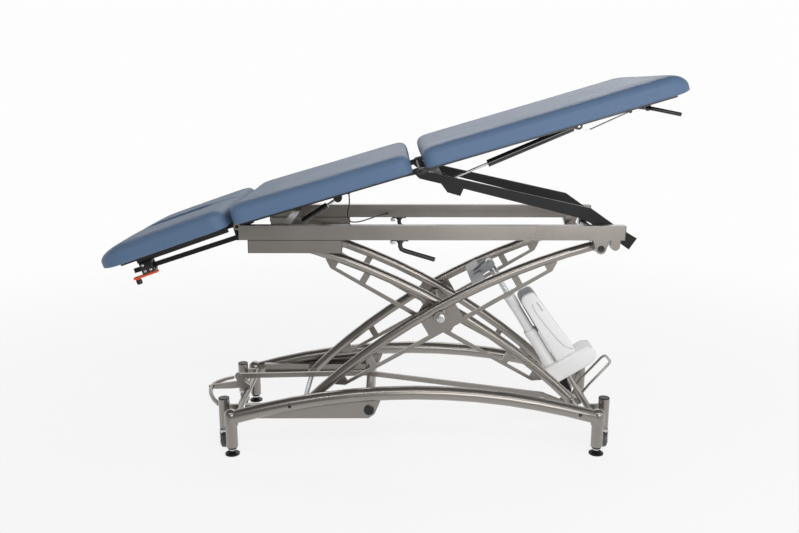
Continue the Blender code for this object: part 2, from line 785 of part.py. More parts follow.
def build_link_bar(couch, pins):
    """The bar that makes both carriages turn together."""
    start, end = pins["left"], pins["right"]
    couch.body("castor_link", start, parent="carriage_left")
    knee = (LINK_KNEE_X, start[1] + LINK_KNEE_RISE)
    run = [(p[0] - start[0], p[1] - start[1]) for p in (start, knee, (LINK_TOE_X, LINK_TOE_Z), end)]
    half = LINK_H / 2
    outline = [(x, z + half) for x, z in run] + [(x, z - half) for x, z in reversed(run)]
    width = LINK_W / 2
    pieces = [plate(outline, -width, width)]
    cuts = []
    for at, slack in ((run[0], RUN), (run[-1], 0.0035)):
        pieces.append(across(at, -width, width, 0.013))
        cuts.append(across(at, -width - 0.01, width + 0.01, 0.005 + slack))
    couch.node("castor_link_bar", "castor_link", "powder_coat", pieces, cuts)


def arm_height(u):
    """Centre line of an arm's tube above its chord."""
    radius = (HALF_CHORD**2 + ARM_SAG**2) / (2 * ARM_SAG)
    return math.sqrt(radius**2 - u**2) - (radius - ARM_SAG)


def arm_pieces(y, at):
    """A bent arm: arched tube, window web, end eyes and centre boss; `at` is the chord's middle."""
    steps = 12
    run = [-HALF_CHORD + 2 * HALF_CHORD * i / steps for i in range(steps + 1)]
    pieces = [tube([(at[0] + u, y, at[1] + arm_height(u)) for u in run], ARM_TUBE)]
    low = RISE - 0.055
    strip = low + ARM_STRIP

    def under(u):
        return arm_height(u) - ARM_TUBE * 0.5

    count = 12
    top = [-ARM_STRIP_END + 2 * ARM_STRIP_END * i / count for i in range(count + 1)]
    outline = [(u, under(u)) for u in reversed(top)]
    outline += [(-ARM_STRIP_END, under(ARM_STRIP_END) - 0.012), (-ARM_STRIP_END + 0.03, low + 0.004), (-0.09, low)]
    outline += [(0.09, low), (ARM_STRIP_END - 0.03, low + 0.004), (ARM_STRIP_END, under(ARM_STRIP_END) - 0.012)]
    holes = []
    for sign in (-1, 1):
        for first, last in ((0.070, ARM_POST - 0.012), (ARM_POST + 0.012, ARM_STRIP_END - 0.045)):
            us = [first + (last - first) * i / 4 for i in range(5)]
            ring = [(sign * u, arm_height(u) - ARM_TUBE * 0.8) for u in us]
            ring += [(sign * last, strip), (sign * first, strip)]
            holes.append([(at[0] + u, at[1] + v) for u, v in ring])
    half = ARM_WEB / 2
    pieces.append(plate([(at[0] + u, at[1] + v) for u, v in outline], y - half, y + half, holes))
    cuts = []
    for u, v, radius in ((-HALF_CHORD, 0.0, EYE), (HALF_CHORD, 0.0, EYE), (0.0, RISE, EYE + 0.004)):
        spot = (at[0] + u, at[1] + v)
        pieces.append(across(spot, y - EYE_HALF, y + EYE_HALF, radius))
        cuts.append(across(spot, y - EYE_HALF - 0.01, y + EYE_HALF + 0.01, PIN + RUN))
    return pieces, cuts


def build_lift(couch):
    """Two pairs of bent arms that cross at the centre shaft, with their roller axles and the actuator's bracket."""
    couch.body("inner_arms", PIVOT_LOW, -CHORD_TILT, parent="base")
    couch.body("outer_arms", CENTRE, CHORD_TILT, parent="inner_arms")
    for side, sign in SIDE_SIGN.items():
        pieces, cuts = arm_pieces(sign * INNER_Y, (-HALF_CHORD, 0.0))
        couch.node(f"inner_arm_{side}", "inner_arms", "powder_coat", pieces, cuts)
        pieces, cuts = arm_pieces(sign * OUTER_Y, (0.0, -RISE))
        couch.node(f"outer_arm_{side}", "outer_arms", "powder_coat", pieces, cuts)
    head = OUTER_Y + EYE_HALF + GAP
    centre = [across((-HALF_CHORD, RISE), -head - FACE, head + FACE, PIN)]
    for sign in (-1, 1):
        y_low, y_high = sorted((sign * head, sign * (head + BOLT_HEAD)))
        centre.append(across((-HALF_CHORD, RISE), y_low, y_high, PIN * 1.5))
    couch.node("centre_shaft", "inner_arms", "zinc", centre)
    wheel_high = UPPER_GUIDE_OUTER - UPPER_GUIDE_WALL - 0.002
    couch.body("upper_axle", (SLIDE_HIGH, PIVOT_HIGH[1]), parent="inner_arms")
    couch.node("upper_roller_axle", "upper_axle", "zinc", roller_axle(wheel_high, UPPER_GUIDE_INNER, ROLLER_HIGH))
    wheel_low = GUIDE_INNER + GUIDE_FLANGE - GUIDE_WALL - 0.001
    couch.body("lower_axle", (SLIDE_LOW, PIVOT_LOW[1]), parent="outer_arms")
    couch.node("lower_roller_axle", "lower_axle", "zinc", roller_axle(wheel_low, GUIDE_INNER, ROLLER_LOW))
    build_cross_bracket(couch)


def roller_axle(reach, wheel_from, radius):
    """An axle along Y with a roller at each end."""
    pieces = [across((0, 0), -reach + 0.002, reach - 0.002, PIN)]
    for sign in (-1, 1):
        y_low, y_high = sorted((sign * (wheel_from + 0.001), sign * reach))
        pieces.append(across((0, 0), y_low, y_high, radius, FINE))
    return pieces


def build_cross_bracket(couch):
    """Plate between the outer arms with the two ears that carry the actuator."""
    reach = OUTER_Y - ARM_TUBE - GAP
    middle = arm_height((BRACKET_FROM + BRACKET_TO) / 2) - RISE
    low, high = middle - BRACKET_T / 2, middle + BRACKET_T / 2
    pieces = [block((BRACKET_FROM, -reach, low), (BRACKET_TO, reach, high))]
    eye = (CLEVIS_ALONG, CLEVIS_UP - RISE)
    for sign in (-1, 1):
        ear = lug(eye, CLEVIS_EAR, (BRACKET_FROM + 0.01, low + 0.001), (BRACKET_FROM + 0.01, high - 0.001))
        y_low, y_high = sorted((sign * CLEVIS_GAP, sign * (CLEVIS_GAP + 0.008)))
        pieces.append(plate(ear, y_low, y_high))
        pieces.append(across(eye, y_low - 0.0 if sign > 0 else y_low - 0.005, y_high + 0.005 if sign > 0 else y_high, PIN))
    couch.node("lift_cross_bracket", "outer_arms", "zinc", pieces)


def build_actuator(couch):
    """Linear actuator between the low pivot shaft and the outer arms' bracket."""
    couch.body("actuator", PIVOT_LOW, ACTUATOR_TILT, parent="base")
    # In this frame X runs up the actuator and positive Z points to the head end.
    motor = [
        (MOTOR_FROM, MOTOR_FRONT),
        (MOTOR_TO, MOTOR_FRONT),
        (MOTOR_TO, MOTOR_BACK + 0.022),
        (MOTOR_TO - 0.015, MOTOR_BACK),
        (MOTOR_FROM + 0.016, MOTOR_BACK),
        (MOTOR_FROM, MOTOR_BACK + 0.038),
        (MOTOR_FROM, -0.040),
        (0.028, -0.022),
        (-0.014, -0.018),
        (-0.014, 0.016),
        (0.028, 0.020),
    ]
    pieces = [
        plate(motor, -MOTOR_HALF, MOTOR_HALF),
        rod((MOTOR_TO - 0.02, 0, 0), (COVER_TO, 0, 0), COVER_TUBE),
        across((0, 0), -MOTOR_HALF + 0.002, MOTOR_HALF - 0.002, 0.020),
    ]
    cuts = [
        rod((BORE_FROM, 0, 0), (COVER_TO + 0.02, 0, 0), PISTON + RUN),
        across((0, 0), -MOTOR_HALF - 0.01, MOTOR_HALF + 0.01, PIN + RUN),
    ]
    couch.node("actuator_housing", "actuator", "actuator_grey", pieces, cuts)
    box = [
        (BOX_FROM, BOX_INNER),
        (BOX_TO - 0.033, BOX_INNER),
        (BOX_TO - 0.010, BOX_INNER - 0.004),
        (BOX_TO, BOX_INNER - 0.016),
        (BOX_TO - 0.002, BOX_TOP_OUTER + 0.010),
        (BOX_TO - 0.012, BOX_TOP_OUTER),
        (BOX_FROM + 0.030, BOX_OUTER),
        (BOX_FROM, BOX_OUTER),
    ]
    couch.node("control_box", "actuator", "actuator_grey", [plate(box, -BOX_HALF, BOX_HALF)])
    couch.body("actuator_piston", PIVOT_LOW, ACTUATOR_TILT, parent="actuator")
    eye_x = ACTUATOR_SPAN
    pieces = [
        rod((PISTON_FROM, 0, 0), (PISTON_TO, 0, 0), PISTON),
        rod((PISTON_TO - 0.01, 0, 0), (eye_x - 0.008, 0, 0), ROD),
        across((eye_x, 0), -ROD_EYE_HALF, ROD_EYE_HALF, ROD_EYE),
    ]
    couch.node("actuator_piston", "actuator_piston", "zinc", pieces)


def build_top_frame(couch):
    """Two rails with their pivot blocks and hinge eyes, the cross members and the upper guides."""
    couch.body("top_frame", PIVOT_HIGH, parent="outer_arms")

    def at(point):
        return away(PIVOT_HIGH, point)

    left, right = RAIL_LEFT - PIVOT_HIGH[0], RAIL_RIGHT - PIVOT_HIGH[0]
    low, top = RAIL_LOW - PIVOT_HIGH[1], RAIL_TOP - PIVOT_HIGH[1]
    hinge = at(MID_HINGE)
    roller = at(ROLLER_TUBE_AT)
    for side, sign in SIDE_SIGN.items():
        y_low, y_high = sorted((sign * RAIL_INNER, sign * RAIL_OUTER))
        pieces = [
            block((left, y_low, low), (right, y_high, top)),
            plate(lug((0.0, 0.0), PIVOT_BLOCK_R, *[(s * PIVOT_BLOCK / 2, low + FACE) for s in (-1, 1)]), y_low, y_high),
            across(hinge, y_low, y_high, HINGE_EYE),
            across((0, 0), *sorted((sign * (OUTER_Y - EYE_HALF), sign * (RAIL_INNER + 0.01))), PIN),
            across((0, 0), *sorted((sign * (OUTER_Y + EYE_HALF + GAP), sign * (RAIL_INNER + 0.01))), PIN * 1.4),
            plate(
                lug(roller, ROLLER_EAR_R, *[(roller[0] + s * ROLLER_EAR_R, low + FACE) for s in (-1, 1)]),
                *sorted((sign * RAIL_INNER, sign * (RAIL_INNER + ROLLER_EAR_W))),
            ),
        ]
        cuts = [
            across(hinge, y_low - 0.01, y_high + 0.01, HINGE_PIN + RUN),
            across(roller, sign * (RAIL_INNER - 0.01), sign * (RAIL_INNER + RAIL_W * 0.7), ROLLER_TUBE + RUN),
        ]
        if side == "far":
            pieces.append(cable_stop(PIVOT_HIGH))
        couch.node(f"rail_{side}", "top_frame", "powder_coat", pieces, cuts)
        build_upper_guide(couch, side, sign, left, low)
    reach = RAIL_INNER - GAP
    cross = left + CROSS_LEFT_FROM
    pieces = [block((cross, -reach, low + 0.004), (cross + CROSS_LEFT_W, reach, low + 0.004 + CROSS_LEFT_H))]
    eye = at(MID_SPRING_LOW_W)
    root = (cross + CROSS_LEFT_W - 0.004, low + 0.006)
    pieces += cheeks(eye, 0.0, root, (root[0], root[1] + 0.024), pinned=True)
    couch.node("top_cross_left", "top_frame", "powder_coat", pieces)
    reach = RAIL_INNER + RAIL_W * 0.7 - GAP
    couch.node("frame_roller_tube", "top_frame", "zinc", [across(roller, -reach, reach, ROLLER_TUBE)])


def cable_stop(origin):
    """Small stop on the far rail where the release cable ends."""
    x, y, z = CABLE_ROUTE[-1]
    x, z = x - origin[0], z - origin[1]
    tip = x + CABLE / 2 + GAP
    return block((tip, y - CABLE_ANCHOR, z - CABLE_ANCHOR), (tip + 0.024, RAIL_INNER + 0.002, z + CABLE_ANCHOR))


def build_upper_guide(couch, side, sign, left, rail_low):
    """Channel under a rail in which the upper roller runs."""
    half = ROLLER_HIGH + GUIDE_PLAY
    wall = UPPER_GUIDE_WALL
    x_low, x_high = left + UPPER_GUIDE_FROM, left + UPPER_GUIDE_TO

    def bar(y_a, y_b, z_a, z_b):
        y_low, y_high = sorted((sign * y_a, sign * y_b))
        return block((x_low, y_low, z_a), (x_high, y_high, z_b))

    pieces = [
        bar(UPPER_GUIDE_OUTER - wall, UPPER_GUIDE_OUTER, -half - wall, rail_low - GAP),
        bar(UPPER_GUIDE_INNER, UPPER_GUIDE_OUTER - wall / 2, -half - wall, -half),
        bar(UPPER_GUIDE_INNER, UPPER_GUIDE_OUTER - wall / 2, half, rail_low - GAP),
    ]
    couch.node(f"upper_guide_{side}", "top_frame", "powder_coat", pieces)


def ring(half_l, half_w, corners, pull):
    """A closed plan outline with rounded corners and sides drawn in between them."""
    arc, run = 4, 2
    radius = {1: corners[1], -1: corners[0]}
    points = []
    spots = ((1, 1, 0), (-1, 1, 90), (-1, -1, 180), (1, -1, 270))
    for i, (sx, sy, start) in enumerate(spots):
        r = max(radius[sx], 0.004)
        centre = (sx * (half_l - r), sy * (half_w - r))
        points += arc_points(centre, r, start, start + 90, arc)
        nx, ny, n_start = spots[(i + 1) % 4]
        n_r = max(radius[nx], 0.004)
        first = points[-1]
        last = (nx * (half_l - n_r), ny * half_w) if i % 2 == 0 else (nx * half_l, ny * (half_w - n_r))
        for j in range(1, run):
            f = j / run
            x = first[0] + (last[0] - first[0]) * f
            y = first[1] + (last[1] - first[1]) * f
            draw = pull * math.sin(math.pi * f)
            if i % 2 == 0:
                y -= sy * draw
            else:
                x -= sx * draw
            points.append((x, y))
    return points


def cushion(span, corners, hole=None):
    """A crowned pad with rolled edges and drawn-in sides, in its section's frame."""
    middle = (span[0] + span[1]) / 2
    half_l, half_w = (span[1] - span[0]) / 2, PAD_HALF
    h = PAD_HEIGHT
    roll = PAD_ROLL
    sides = [(0.005, 0.0), (0.0, 0.005), (PAD_PULL / 2, h * 0.3)]
    for angle in (0, 45, 90):
        turn = math.radians(angle)
        sides.append((roll * (1 - math.cos(turn)) + 0.0005, h - roll + roll * math.sin(turn)))
    most = 0.14
    crown = [(inset, h + PAD_CROWN * (1 - (1 - inset / most) ** 2)) for inset in (0.055, 0.10)]

    def loop(inset, z, pull=PAD_PULL):
        cut = [max(c - inset, 0.004) for c in corners]
        return [(middle + x, y, z) for x, y in ring(half_l - inset, half_w - inset, cut, pull)]

    rings = [loop(inset, z) for inset, z in sides]
    rings += [loop(inset, z, PAD_PULL * 0.3) for inset, z in crown]
    if hole:
        hole_middle, hole_half = (hole[0] + hole[1]) / 2, (hole[1] - hole[0]) / 2

        def hole_loop(grow, z):
            width = FACE_HOLE_HALF + grow
            turned_ends = [width * 0.98] * 2
            return [(hole_middle + x, y, z) for x, y in ring(hole_half + grow, width, turned_ends, 0.0)]

        top = h + PAD_CROWN
        rings = rings[: len(sides) + 1]
        rings += [hole_loop(0.014, top), hole_loop(0.003, top - 0.005), hole_loop(0.0, top - 0.014), hole_loop(0.0, 0.0)]
    bm = bmesh.new()
    loops = [[bm.verts.new(point) for point in points] for points in rings]
    pairs = list(zip(loops, loops[1:]))
    if hole:
        pairs.append((loops[-1], loops[0]))
    else:
        bm.faces.new(list(reversed(loops[0])))
        bm.faces.new(loops[-1])
    for lower, upper in pairs:
        for i in range(len(lower)):
            j = (i + 1) % len(lower)
            bm.faces.new((lower[i], lower[j], upper[j], upper[i]))
    bmesh.ops.translate(bm, verts=bm.verts, vec=(0, 0, PAD_LIFT))
    bmesh.ops.recalc_face_normals(bm, faces=bm.faces)
    return from_bmesh(bm)


def ear_pair(eye, radius, y_middle, width, root_low, root_high, bore=HINGE_PIN):
    """Two mirrored ears about a hinge eye, and the bores through them."""
    pieces, cuts = [], []
    for sign in (-1, 1):
        y_low, y_high = sorted((sign * (y_middle - width / 2), sign * (y_middle + width / 2)))
        pieces.append(plate(lug(eye, radius, root_low, root_high), y_low, y_high))
        cuts.append(across(eye, y_low - 0.001, y_high + 0.001, bore + RUN))
    return pieces, cuts


def cheeks(eye, y, root_low, root_high, pinned=False):
    """Two plates about a gas spring's eye, with the pin where the spring swings."""
    pieces = []
    if pinned:
        reach = CHEEK_GAP + CHEEK_T + FACE
        pieces.append(across(eye, y - reach, y + reach, SPRING_PIN))
    for sign in (-1, 1):
        y_low, y_high = sorted((y + sign * CHEEK_GAP, y + sign * (CHEEK_GAP + CHEEK_T)))
        pieces.append(plate(lug(eye, CHEEK_R, root_low, root_high), y_low, y_high))
    return pieces


def build_mid_section(couch):
    """Middle section: board with its hinge ears, pad and the two hinge shafts."""
    couch.body("mid", MID_HINGE, MID_TILT, parent="top_frame")
    board_top = BOARD_LOW + BOARD_T
    start, stop = 0.020, MID_SPAN - 0.030
    root_low, root_high = BOARD_LOW - 0.012, BOARD_LOW + 0.002
    pieces = [block((start, -BOARD_HALF, BOARD_LOW), (stop, BOARD_HALF, board_top))]
    cuts = []
    for eye, y, width, root in (
        ((0.0, 0.0), MID_EAR_Y, MID_EAR_W, start + 0.030),
        ((MID_SPAN, 0.0), LEG_MID_EAR_Y, EAR_W, stop - 0.030),
    ):
        more, holes = ear_pair(eye, HINGE_EYE - FACE, y, width, (root, root_low), (root, root_high))
        pieces += more
        cuts += holes
    head = (-HEAD_HINGE_BACK, 0.0)
    for sign in (-1, 1):
        y_low, y_high = sorted((sign * (HEAD_LUG_Y - EAR_W / 2), sign * (HEAD_LUG_Y + EAR_W / 2)))
        root = (start + 0.030, root_high), (start + 0.030, root_low)
        pieces.append(plate(lug(head, HINGE_EYE - FACE, *root), y_low, y_high))
        pieces.append(across(head, *sorted((sign * (HEAD_EAR_Y - EAR_W / 2), sign * HEAD_LUG_Y)), HINGE_PIN))
    through = HEAD_LUG_Y + EAR_W / 2 + FACE
    cuts.append(across((0.0, 0.0), -through, through, HINGE_PIN + RUN))
    y_low, y_high = -HEAD_LUG_Y - EAR_W / 2, -HEAD_LUG_Y + EAR_W / 2
    drop = lug(STRUT_PIVOT, 0.012, (head[0] - 0.010, head[1]), (head[0] + 0.010, head[1]))
    pieces.append(plate(drop, y_low, y_high))
    pieces.append(across(STRUT_PIVOT, STRUT_Y - STRUT_W / 2, y_high - 0.002, HINGE_PIN))
    spring = MID_SPRING_HIGH
    pieces += cheeks(spring, 0.0, (spring[0] + 0.018, root_high), (spring[0] - 0.018, root_high))
    anchor = turned_by(away(MID_HINGE, (CABLE_ROUTE[0][0], CABLE_ROUTE[0][2])), -MID_TILT)
    pieces.append(
        rod(
            (anchor[0], CABLE_ROUTE[0][1], anchor[1] + CABLE * math.sin(MID_TILT) + GAP),
            (anchor[0], CABLE_ROUTE[0][1], root_high),
            CABLE_ANCHOR,
        )
    )
    couch.node("mid_board", "mid", "black_plastic", pieces, cuts)
    couch.node("mid_pad", "mid", "upholstery", [cushion(MID_PAD, (PAD_CORNER, PAD_CORNER))])
    half = SHAFT_HALF
    couch.node("leg_hinge_shaft", "mid", "zinc", [across((MID_SPAN, 0), -half, half, HINGE_PIN)])
    outer = RAIL_OUTER + FACE
    couch.node("mid_hinge_shaft", "top_frame", "zinc", [across(away(PIVOT_HIGH, MID_HINGE), -outer, outer, HINGE_PIN)])


def roller_seen(lift):
    """The roller tube's place in the lift frame once the middle section has turned by a lift angle."""
    hinge = added(MID_HINGE, turned_by((MID_SPAN, 0.0), MID_TILT + lift))
    tilt = -FRAME_TILT + lift * (1 + FRAME_PER_MID)
    return turned_by(away(hinge, ROLLER_TUBE_AT), -tilt)


def roller_edge(knee):
    """Lower edge of the lift frame's tail: where the roller tube touches it through the middle section's tilt."""
    stand = ROLLER_TUBE + 2 * RUN
    count = 9
    nudge = 0.001
    edge = []
    for i in range(count):
        lift = -MID_TILT + (MID_TILT + MID_UP) * i / (count - 1)
        point = roller_seen(lift)
        run = away(roller_seen(lift - nudge), roller_seen(lift + nudge))
        facing = math.degrees(math.atan2(run[0], -run[1]))
        start = facing
        if i == 0:
            reach = away(point, knee)
            start = math.degrees(math.atan2(reach[1], reach[0]) - math.acos(stand / math.hypot(*reach)))
        arc = arc_points(point, stand, start, facing, 5)
        edge += arc if i == 0 else arc[-1:]
    return edge


def build_leg_frame(couch):
    """Dark lift frame that carries the leg section: two bent bars and a cross bar."""
    couch.body("leg_frame", LEG_HINGE, -FRAME_TILT, parent="mid")
    knee = (FRAME_KNEE - 0.030, -FRAME_KNEE_LOW)
    outline = [
        (FRAME_KNEE, FRAME_TOP),
        (0.0, FRAME_TOP),
        *arc_points((-0.004, -HINGE_EYE + FRAME_TOP), HINGE_EYE, 90, 200, 4),
        (0.004, -FRAME_LOW),
        *TAB,
        knee,
        *roller_edge(knee),
        FRAME_TAIL_LOW,
        FRAME_TIP,
        (FRAME_KNEE + 0.090, -0.034),
    ]
    for side, sign in SIDE_SIGN.items():
        y_low, y_high = sorted((sign * (FRAME_Y - FRAME_W / 2), sign * (FRAME_Y + FRAME_W / 2)))
        bore = across((0, 0), y_low - 0.001, y_high + 0.001, HINGE_PIN + RUN)
        couch.node(f"leg_frame_{side}", "leg_frame", "dark_coat", [plate(outline, y_low, y_high)], [bore])
    reach = FRAME_Y - FRAME_W / 2 - GAP
    pieces = [block((FRAME_CROSS_FROM, -reach, -0.022), (FRAME_CROSS_TO, reach, -0.002))]
    root = FRAME_CROSS_FROM + 0.010
    pieces += cheeks(LEG_SPRING_LOW, LEG_SPRING_Y, (root, -0.020), (root, -0.004))
    couch.node("leg_frame_cross", "leg_frame", "dark_coat", pieces)


def build_leg_section(couch):
    """Leg section: board with its ears and brackets, and the pad."""
    couch.body("leg", LEG_HINGE, LEG_TILT, parent="leg_frame")
    board_top = BOARD_LOW + BOARD_T
    start, stop = 0.030, LEG_PAD[1] - LEG_BOARD_INSET
    root_low, root_high = BOARD_LOW - 0.010, BOARD_LOW + 0.002
    pieces = [block((start, -BOARD_HALF, BOARD_LOW), (stop, BOARD_HALF, board_top))]
    root = start + 0.030
    more, cuts = ear_pair((0, 0), HINGE_EYE - FACE, LEG_EAR_Y, EAR_W, (root, root_high), (root, root_low))
    pieces += more
    spring = LEG_SPRING_HIGH
    root_a, root_b = (spring[0] + 0.022, root_high), (spring[0] - 0.022, root_high)
    pieces += cheeks(spring, LEG_SPRING_Y, root_a, root_b, pinned=True)
    for y in (LEG_HANDLE_Y + 0.030, LEG_SPRING_Y - 0.030):
        bearing = lug(LEG_HANDLE, 0.010, (LEG_HANDLE[0] + 0.012, root_high), (LEG_HANDLE[0] - 0.012, root_high))
        pieces.append(plate(bearing, y - 0.004, y + 0.004))
        cuts.append(across(LEG_HANDLE, y - 0.006, y + 0.006, LEG_HANDLE_ROD + RUN))
    couch.node("leg_board", "leg", "black_plastic", pieces, cuts)
    couch.node("leg_pad", "leg", "upholstery", [cushion(LEG_PAD, (PAD_CORNER, PAD_END_CORNER))])
    build_leg_release(couch)


def build_leg_release(couch):
    """Handle under the leg section, its cross rod and the link that works the gas spring."""
    hinge = added(LEG_HINGE, turned_by(LEG_HANDLE, LEG_TILT))
    couch.body("leg_release", hinge, LEG_TILT, parent="leg")
    tip = away(LEG_HANDLE, LEG_HANDLE_TIP)
    crank = away(LEG_HANDLE, LEG_CRANK)
    y_in = LEG_SPRING_Y - 0.004
    bend = 0.020
    grip = [
        (0, LEG_HANDLE_Y + bend, 0),
        (tip[0] * 0.06, LEG_HANDLE_Y + bend * 0.3, tip[1] * 0.06),
        (tip[0] * 0.22, LEG_HANDLE_Y, tip[1] * 0.22),
        (tip[0], LEG_HANDLE_Y, tip[1]),
    ]
    pieces = [
        tube([(0, y_in, 0), *grip], LEG_HANDLE_ROD, 4),
        plate(lug(crank, 0.006, (-0.004, 0.004), (0.004, -0.004)), y_in - 0.006, y_in - 0.001),
    ]
    couch.node("leg_release_handle", "leg_release", "black_plastic", pieces)
    pin = added(LEG_HINGE, turned_by(LEG_CRANK, LEG_TILT))
    couch.body("release_link", pin, LEG_TILT, parent="leg_release")
    run = away(LEG_CRANK, LEG_CAM)
    half = LINK_ROD + FACE
    y = y_in - 0.001 + RUN + half
    pieces = [
        rod((0, y, 0), (run[0], y, run[1]), LINK_ROD, 8),
        across((0, 0), y - half, y + half, 0.005, 8),
        across(run, y - half, y + half, 0.005, 8),
    ]
    couch.node("release_link_rod", "release_link", "zinc", pieces)


def spring_pair(couch, name, parent, fixed, free, y, radius, case, finish):
    """A gas spring: the case swings about one eye, the rod slides out to the other."""
    tilt = math.atan2(free[1] - fixed[1], free[0] - fixed[0])
    span = math.dist(fixed, free)
    couch.body(f"{name}_case", fixed, tilt, depth=y, parent=parent)
    pieces = [
        across((0, 0), -SPRING_EYE_HALF, SPRING_EYE_HALF, SPRING_EYE),
        rod((SPRING_EYE * 0.7, 0, 0), (0.026, 0, 0), SPRING_EYE * 0.7),
        rod((0.020, 0, 0), (0.020 + case, 0, 0), radius),
    ]
    cuts = [
        rod((0.030, 0, 0), (0.040 + case, 0, 0), SPRING_ROD + RUN),
        across((0, 0), -SPRING_EYE_HALF - 0.01, SPRING_EYE_HALF + 0.01, SPRING_PIN + RUN),
    ]
    couch.node(f"{name}_cylinder", f"{name}_case", finish, pieces, cuts)
    couch.body(f"{name}_rod", fixed, tilt, depth=y, parent=f"{name}_case")
    inside = 0.020 + case - 0.045
    pieces = [
        rod((inside, 0, 0), (span - 0.004, 0, 0), SPRING_ROD),
        across((span, 0), -SPRING_EYE_HALF, SPRING_EYE_HALF, SPRING_EYE),
    ]
    couch.node(f"{name}_rod", f"{name}_rod", "zinc", pieces)


def build_springs(couch):
    """The gas springs of the middle and the leg section."""
    spring_pair(
        couch,
        "leg_spring",
        "leg",
        LEG_SPRING_HIGH_W,
        LEG_SPRING_LOW_W,
        LEG_SPRING_Y,
        LEG_SPRING_TUBE,
        LEG_SPRING_CASE,
        "black_plastic",
    )
    spring_pair(
        couch,
        "mid_spring",
        "top_frame",
        MID_SPRING_LOW_W,
        MID_SPRING_HIGH_W,
        0.0,
        MID_SPRING_TUBE,
        MID_SPRING_CASE,
        "black_plastic",
    )


def build_head_section(couch):
    """Head section: holed board with its bars and strut clamp, the pad, the strut and the clamp lever."""
    couch.body("head", HEAD_HINGE, HEAD_TILT, parent="mid")
    board_top = BOARD_LOW + BOARD_T
    start, stop = HEAD_PAD[0] + HEAD_BOARD_INSET, -0.022
    root_low, root_high = BOARD_LOW - 0.012, BOARD_LOW + 0.002
    pieces = [block((start, -BOARD_HALF, BOARD_LOW), (stop, BOARD_HALF, board_top))]
    more, cuts = ear_pair(
        (0, 0), HINGE_EYE - FACE, HEAD_EAR_Y, EAR_W, (stop - 0.030, root_low), (stop - 0.030, root_high)
    )
    pieces += more
    for sign in (-1, 1):
        y = sign * -STRUT_Y
        pieces.append(
            block((start + 0.020, y - BAR_W / 2, BOARD_LOW - BAR_H), (stop - 0.004, y + BAR_W / 2, BOARD_LOW + FACE))
        )
    bar_low = BOARD_LOW - BAR_H
    strut = clamp_passage()
    pieces.append(
        soft_block(
            (CLAMP_AT - CLAMP_L / 2, STRUT_Y - CLAMP_W / 2, strut - CLAMP_H / 2),
            (CLAMP_AT + CLAMP_L / 2, STRUT_Y + CLAMP_W / 2, bar_low + FACE),
            0.002,
        )
    )
    slot = 0.006
    cuts.append(
        block(
            (CLAMP_AT - CLAMP_L, STRUT_Y - STRUT_W / 2 - 2 * RUN, strut - STRUT_H / 2 - slot),
            (CLAMP_AT + CLAMP_L, STRUT_Y + STRUT_W / 2 + 2 * RUN, strut + STRUT_H / 2 + slot),
        )
    )
    hole_low, hole_high = FACE_HOLE
    cuts.append(block((hole_low, -FACE_HOLE_HALF, -0.05), (hole_high, FACE_HOLE_HALF, 0.05)))
    couch.node("head_board", "head", "black_plastic", pieces, cuts)
    couch.node("head_pad", "head", "upholstery", [cushion(HEAD_PAD, (HEAD_END_CORNER, PAD_CORNER), FACE_HOLE)])
    build_strut(couch, strut)


def strut_in_head():
    """The strut's pivot in the head section's frame at rest."""
    pivot = added(MID_HINGE, turned_by(STRUT_PIVOT, MID_TILT))
    return turned_by(away(HEAD_HINGE, pivot), -HEAD_TILT)


def clamp_passage():
    """Height in the head's frame at which the strut passes the clamp."""
    return strut_in_head()[1] + 0.006


def build_strut(couch, passage):
    """The head's support strut, which slides through the clamp, and the clamp's hand lever."""
    pivot = added(MID_HINGE, turned_by(STRUT_PIVOT, MID_TILT))
    here = strut_in_head()
    clamp = (CLAMP_AT, passage)
    lean = math.atan2(here[1] - clamp[1], here[0] - clamp[0])
    couch.body("head_strut", pivot, HEAD_TILT + lean, parent="mid")
    y_low, y_high = STRUT_Y - STRUT_W / 2, STRUT_Y + STRUT_W / 2
    half = STRUT_H / 2
    pieces = [
        block((-STRUT_REACH, y_low, -half), (0.0, y_high, half)),
        across((0, 0), y_low, y_high, half + 0.003),
    ]
    cuts = [across((0, 0), y_low - 0.01, y_high + 0.01, HINGE_PIN + RUN)]
    couch.node("head_strut", "head_strut", "dark_coat", pieces, cuts)
    low = passage - CLAMP_H / 2 - GAP
    hinge = (CLAMP_AT + 0.006, low - 0.005)
    place = added(HEAD_HINGE, turned_by(hinge, HEAD_TILT))
    couch.body("clamp_lever", place, HEAD_TILT, depth=STRUT_Y, parent="head")
    knob = 0.012 - CLAMP_LEVER_L
    pieces = [
        soft_block((-CLAMP_LEVER_L, -0.012, -0.0045), (0.020, 0.012, 0.0045), 0.0025),
        rod((knob, 0, -0.003), (knob, 0, -0.022), 0.009),
    ]
    couch.node("clamp_lever", "clamp_lever", "lever_orange", pieces)


def build_levers(couch):
    """The release levers under the rails, one on each side."""
    x = PIVOT_HIGH[0] + LEVER_PAST_PIVOT
    top = RAIL_LOW - GAP
    for side, sign in SIDE_SIGN.items():
        y = sign * LEVER_Y
        couch.body(f"mid_lever_{side}", (x, top), depth=y, parent="top_frame")
        drop = LEVER_DROP
        arm = [
            (0, 0, -0.004),
            (0, 0, -drop + 0.014),
            (0.004, 0, -drop + 0.004),
            (0.016, 0, -drop - 0.002),
            (LEVER_REACH, 0, -LEVER_TIP_DROP),
        ]
        pieces = [tube(arm, LEVER_STEM, 4), rod((0, 0, 0), (0, 0, -0.010), LEVER_COLLAR)]
        couch.node(f"mid_release_lever_{side}", f"mid_lever_{side}", "black_plastic", pieces)


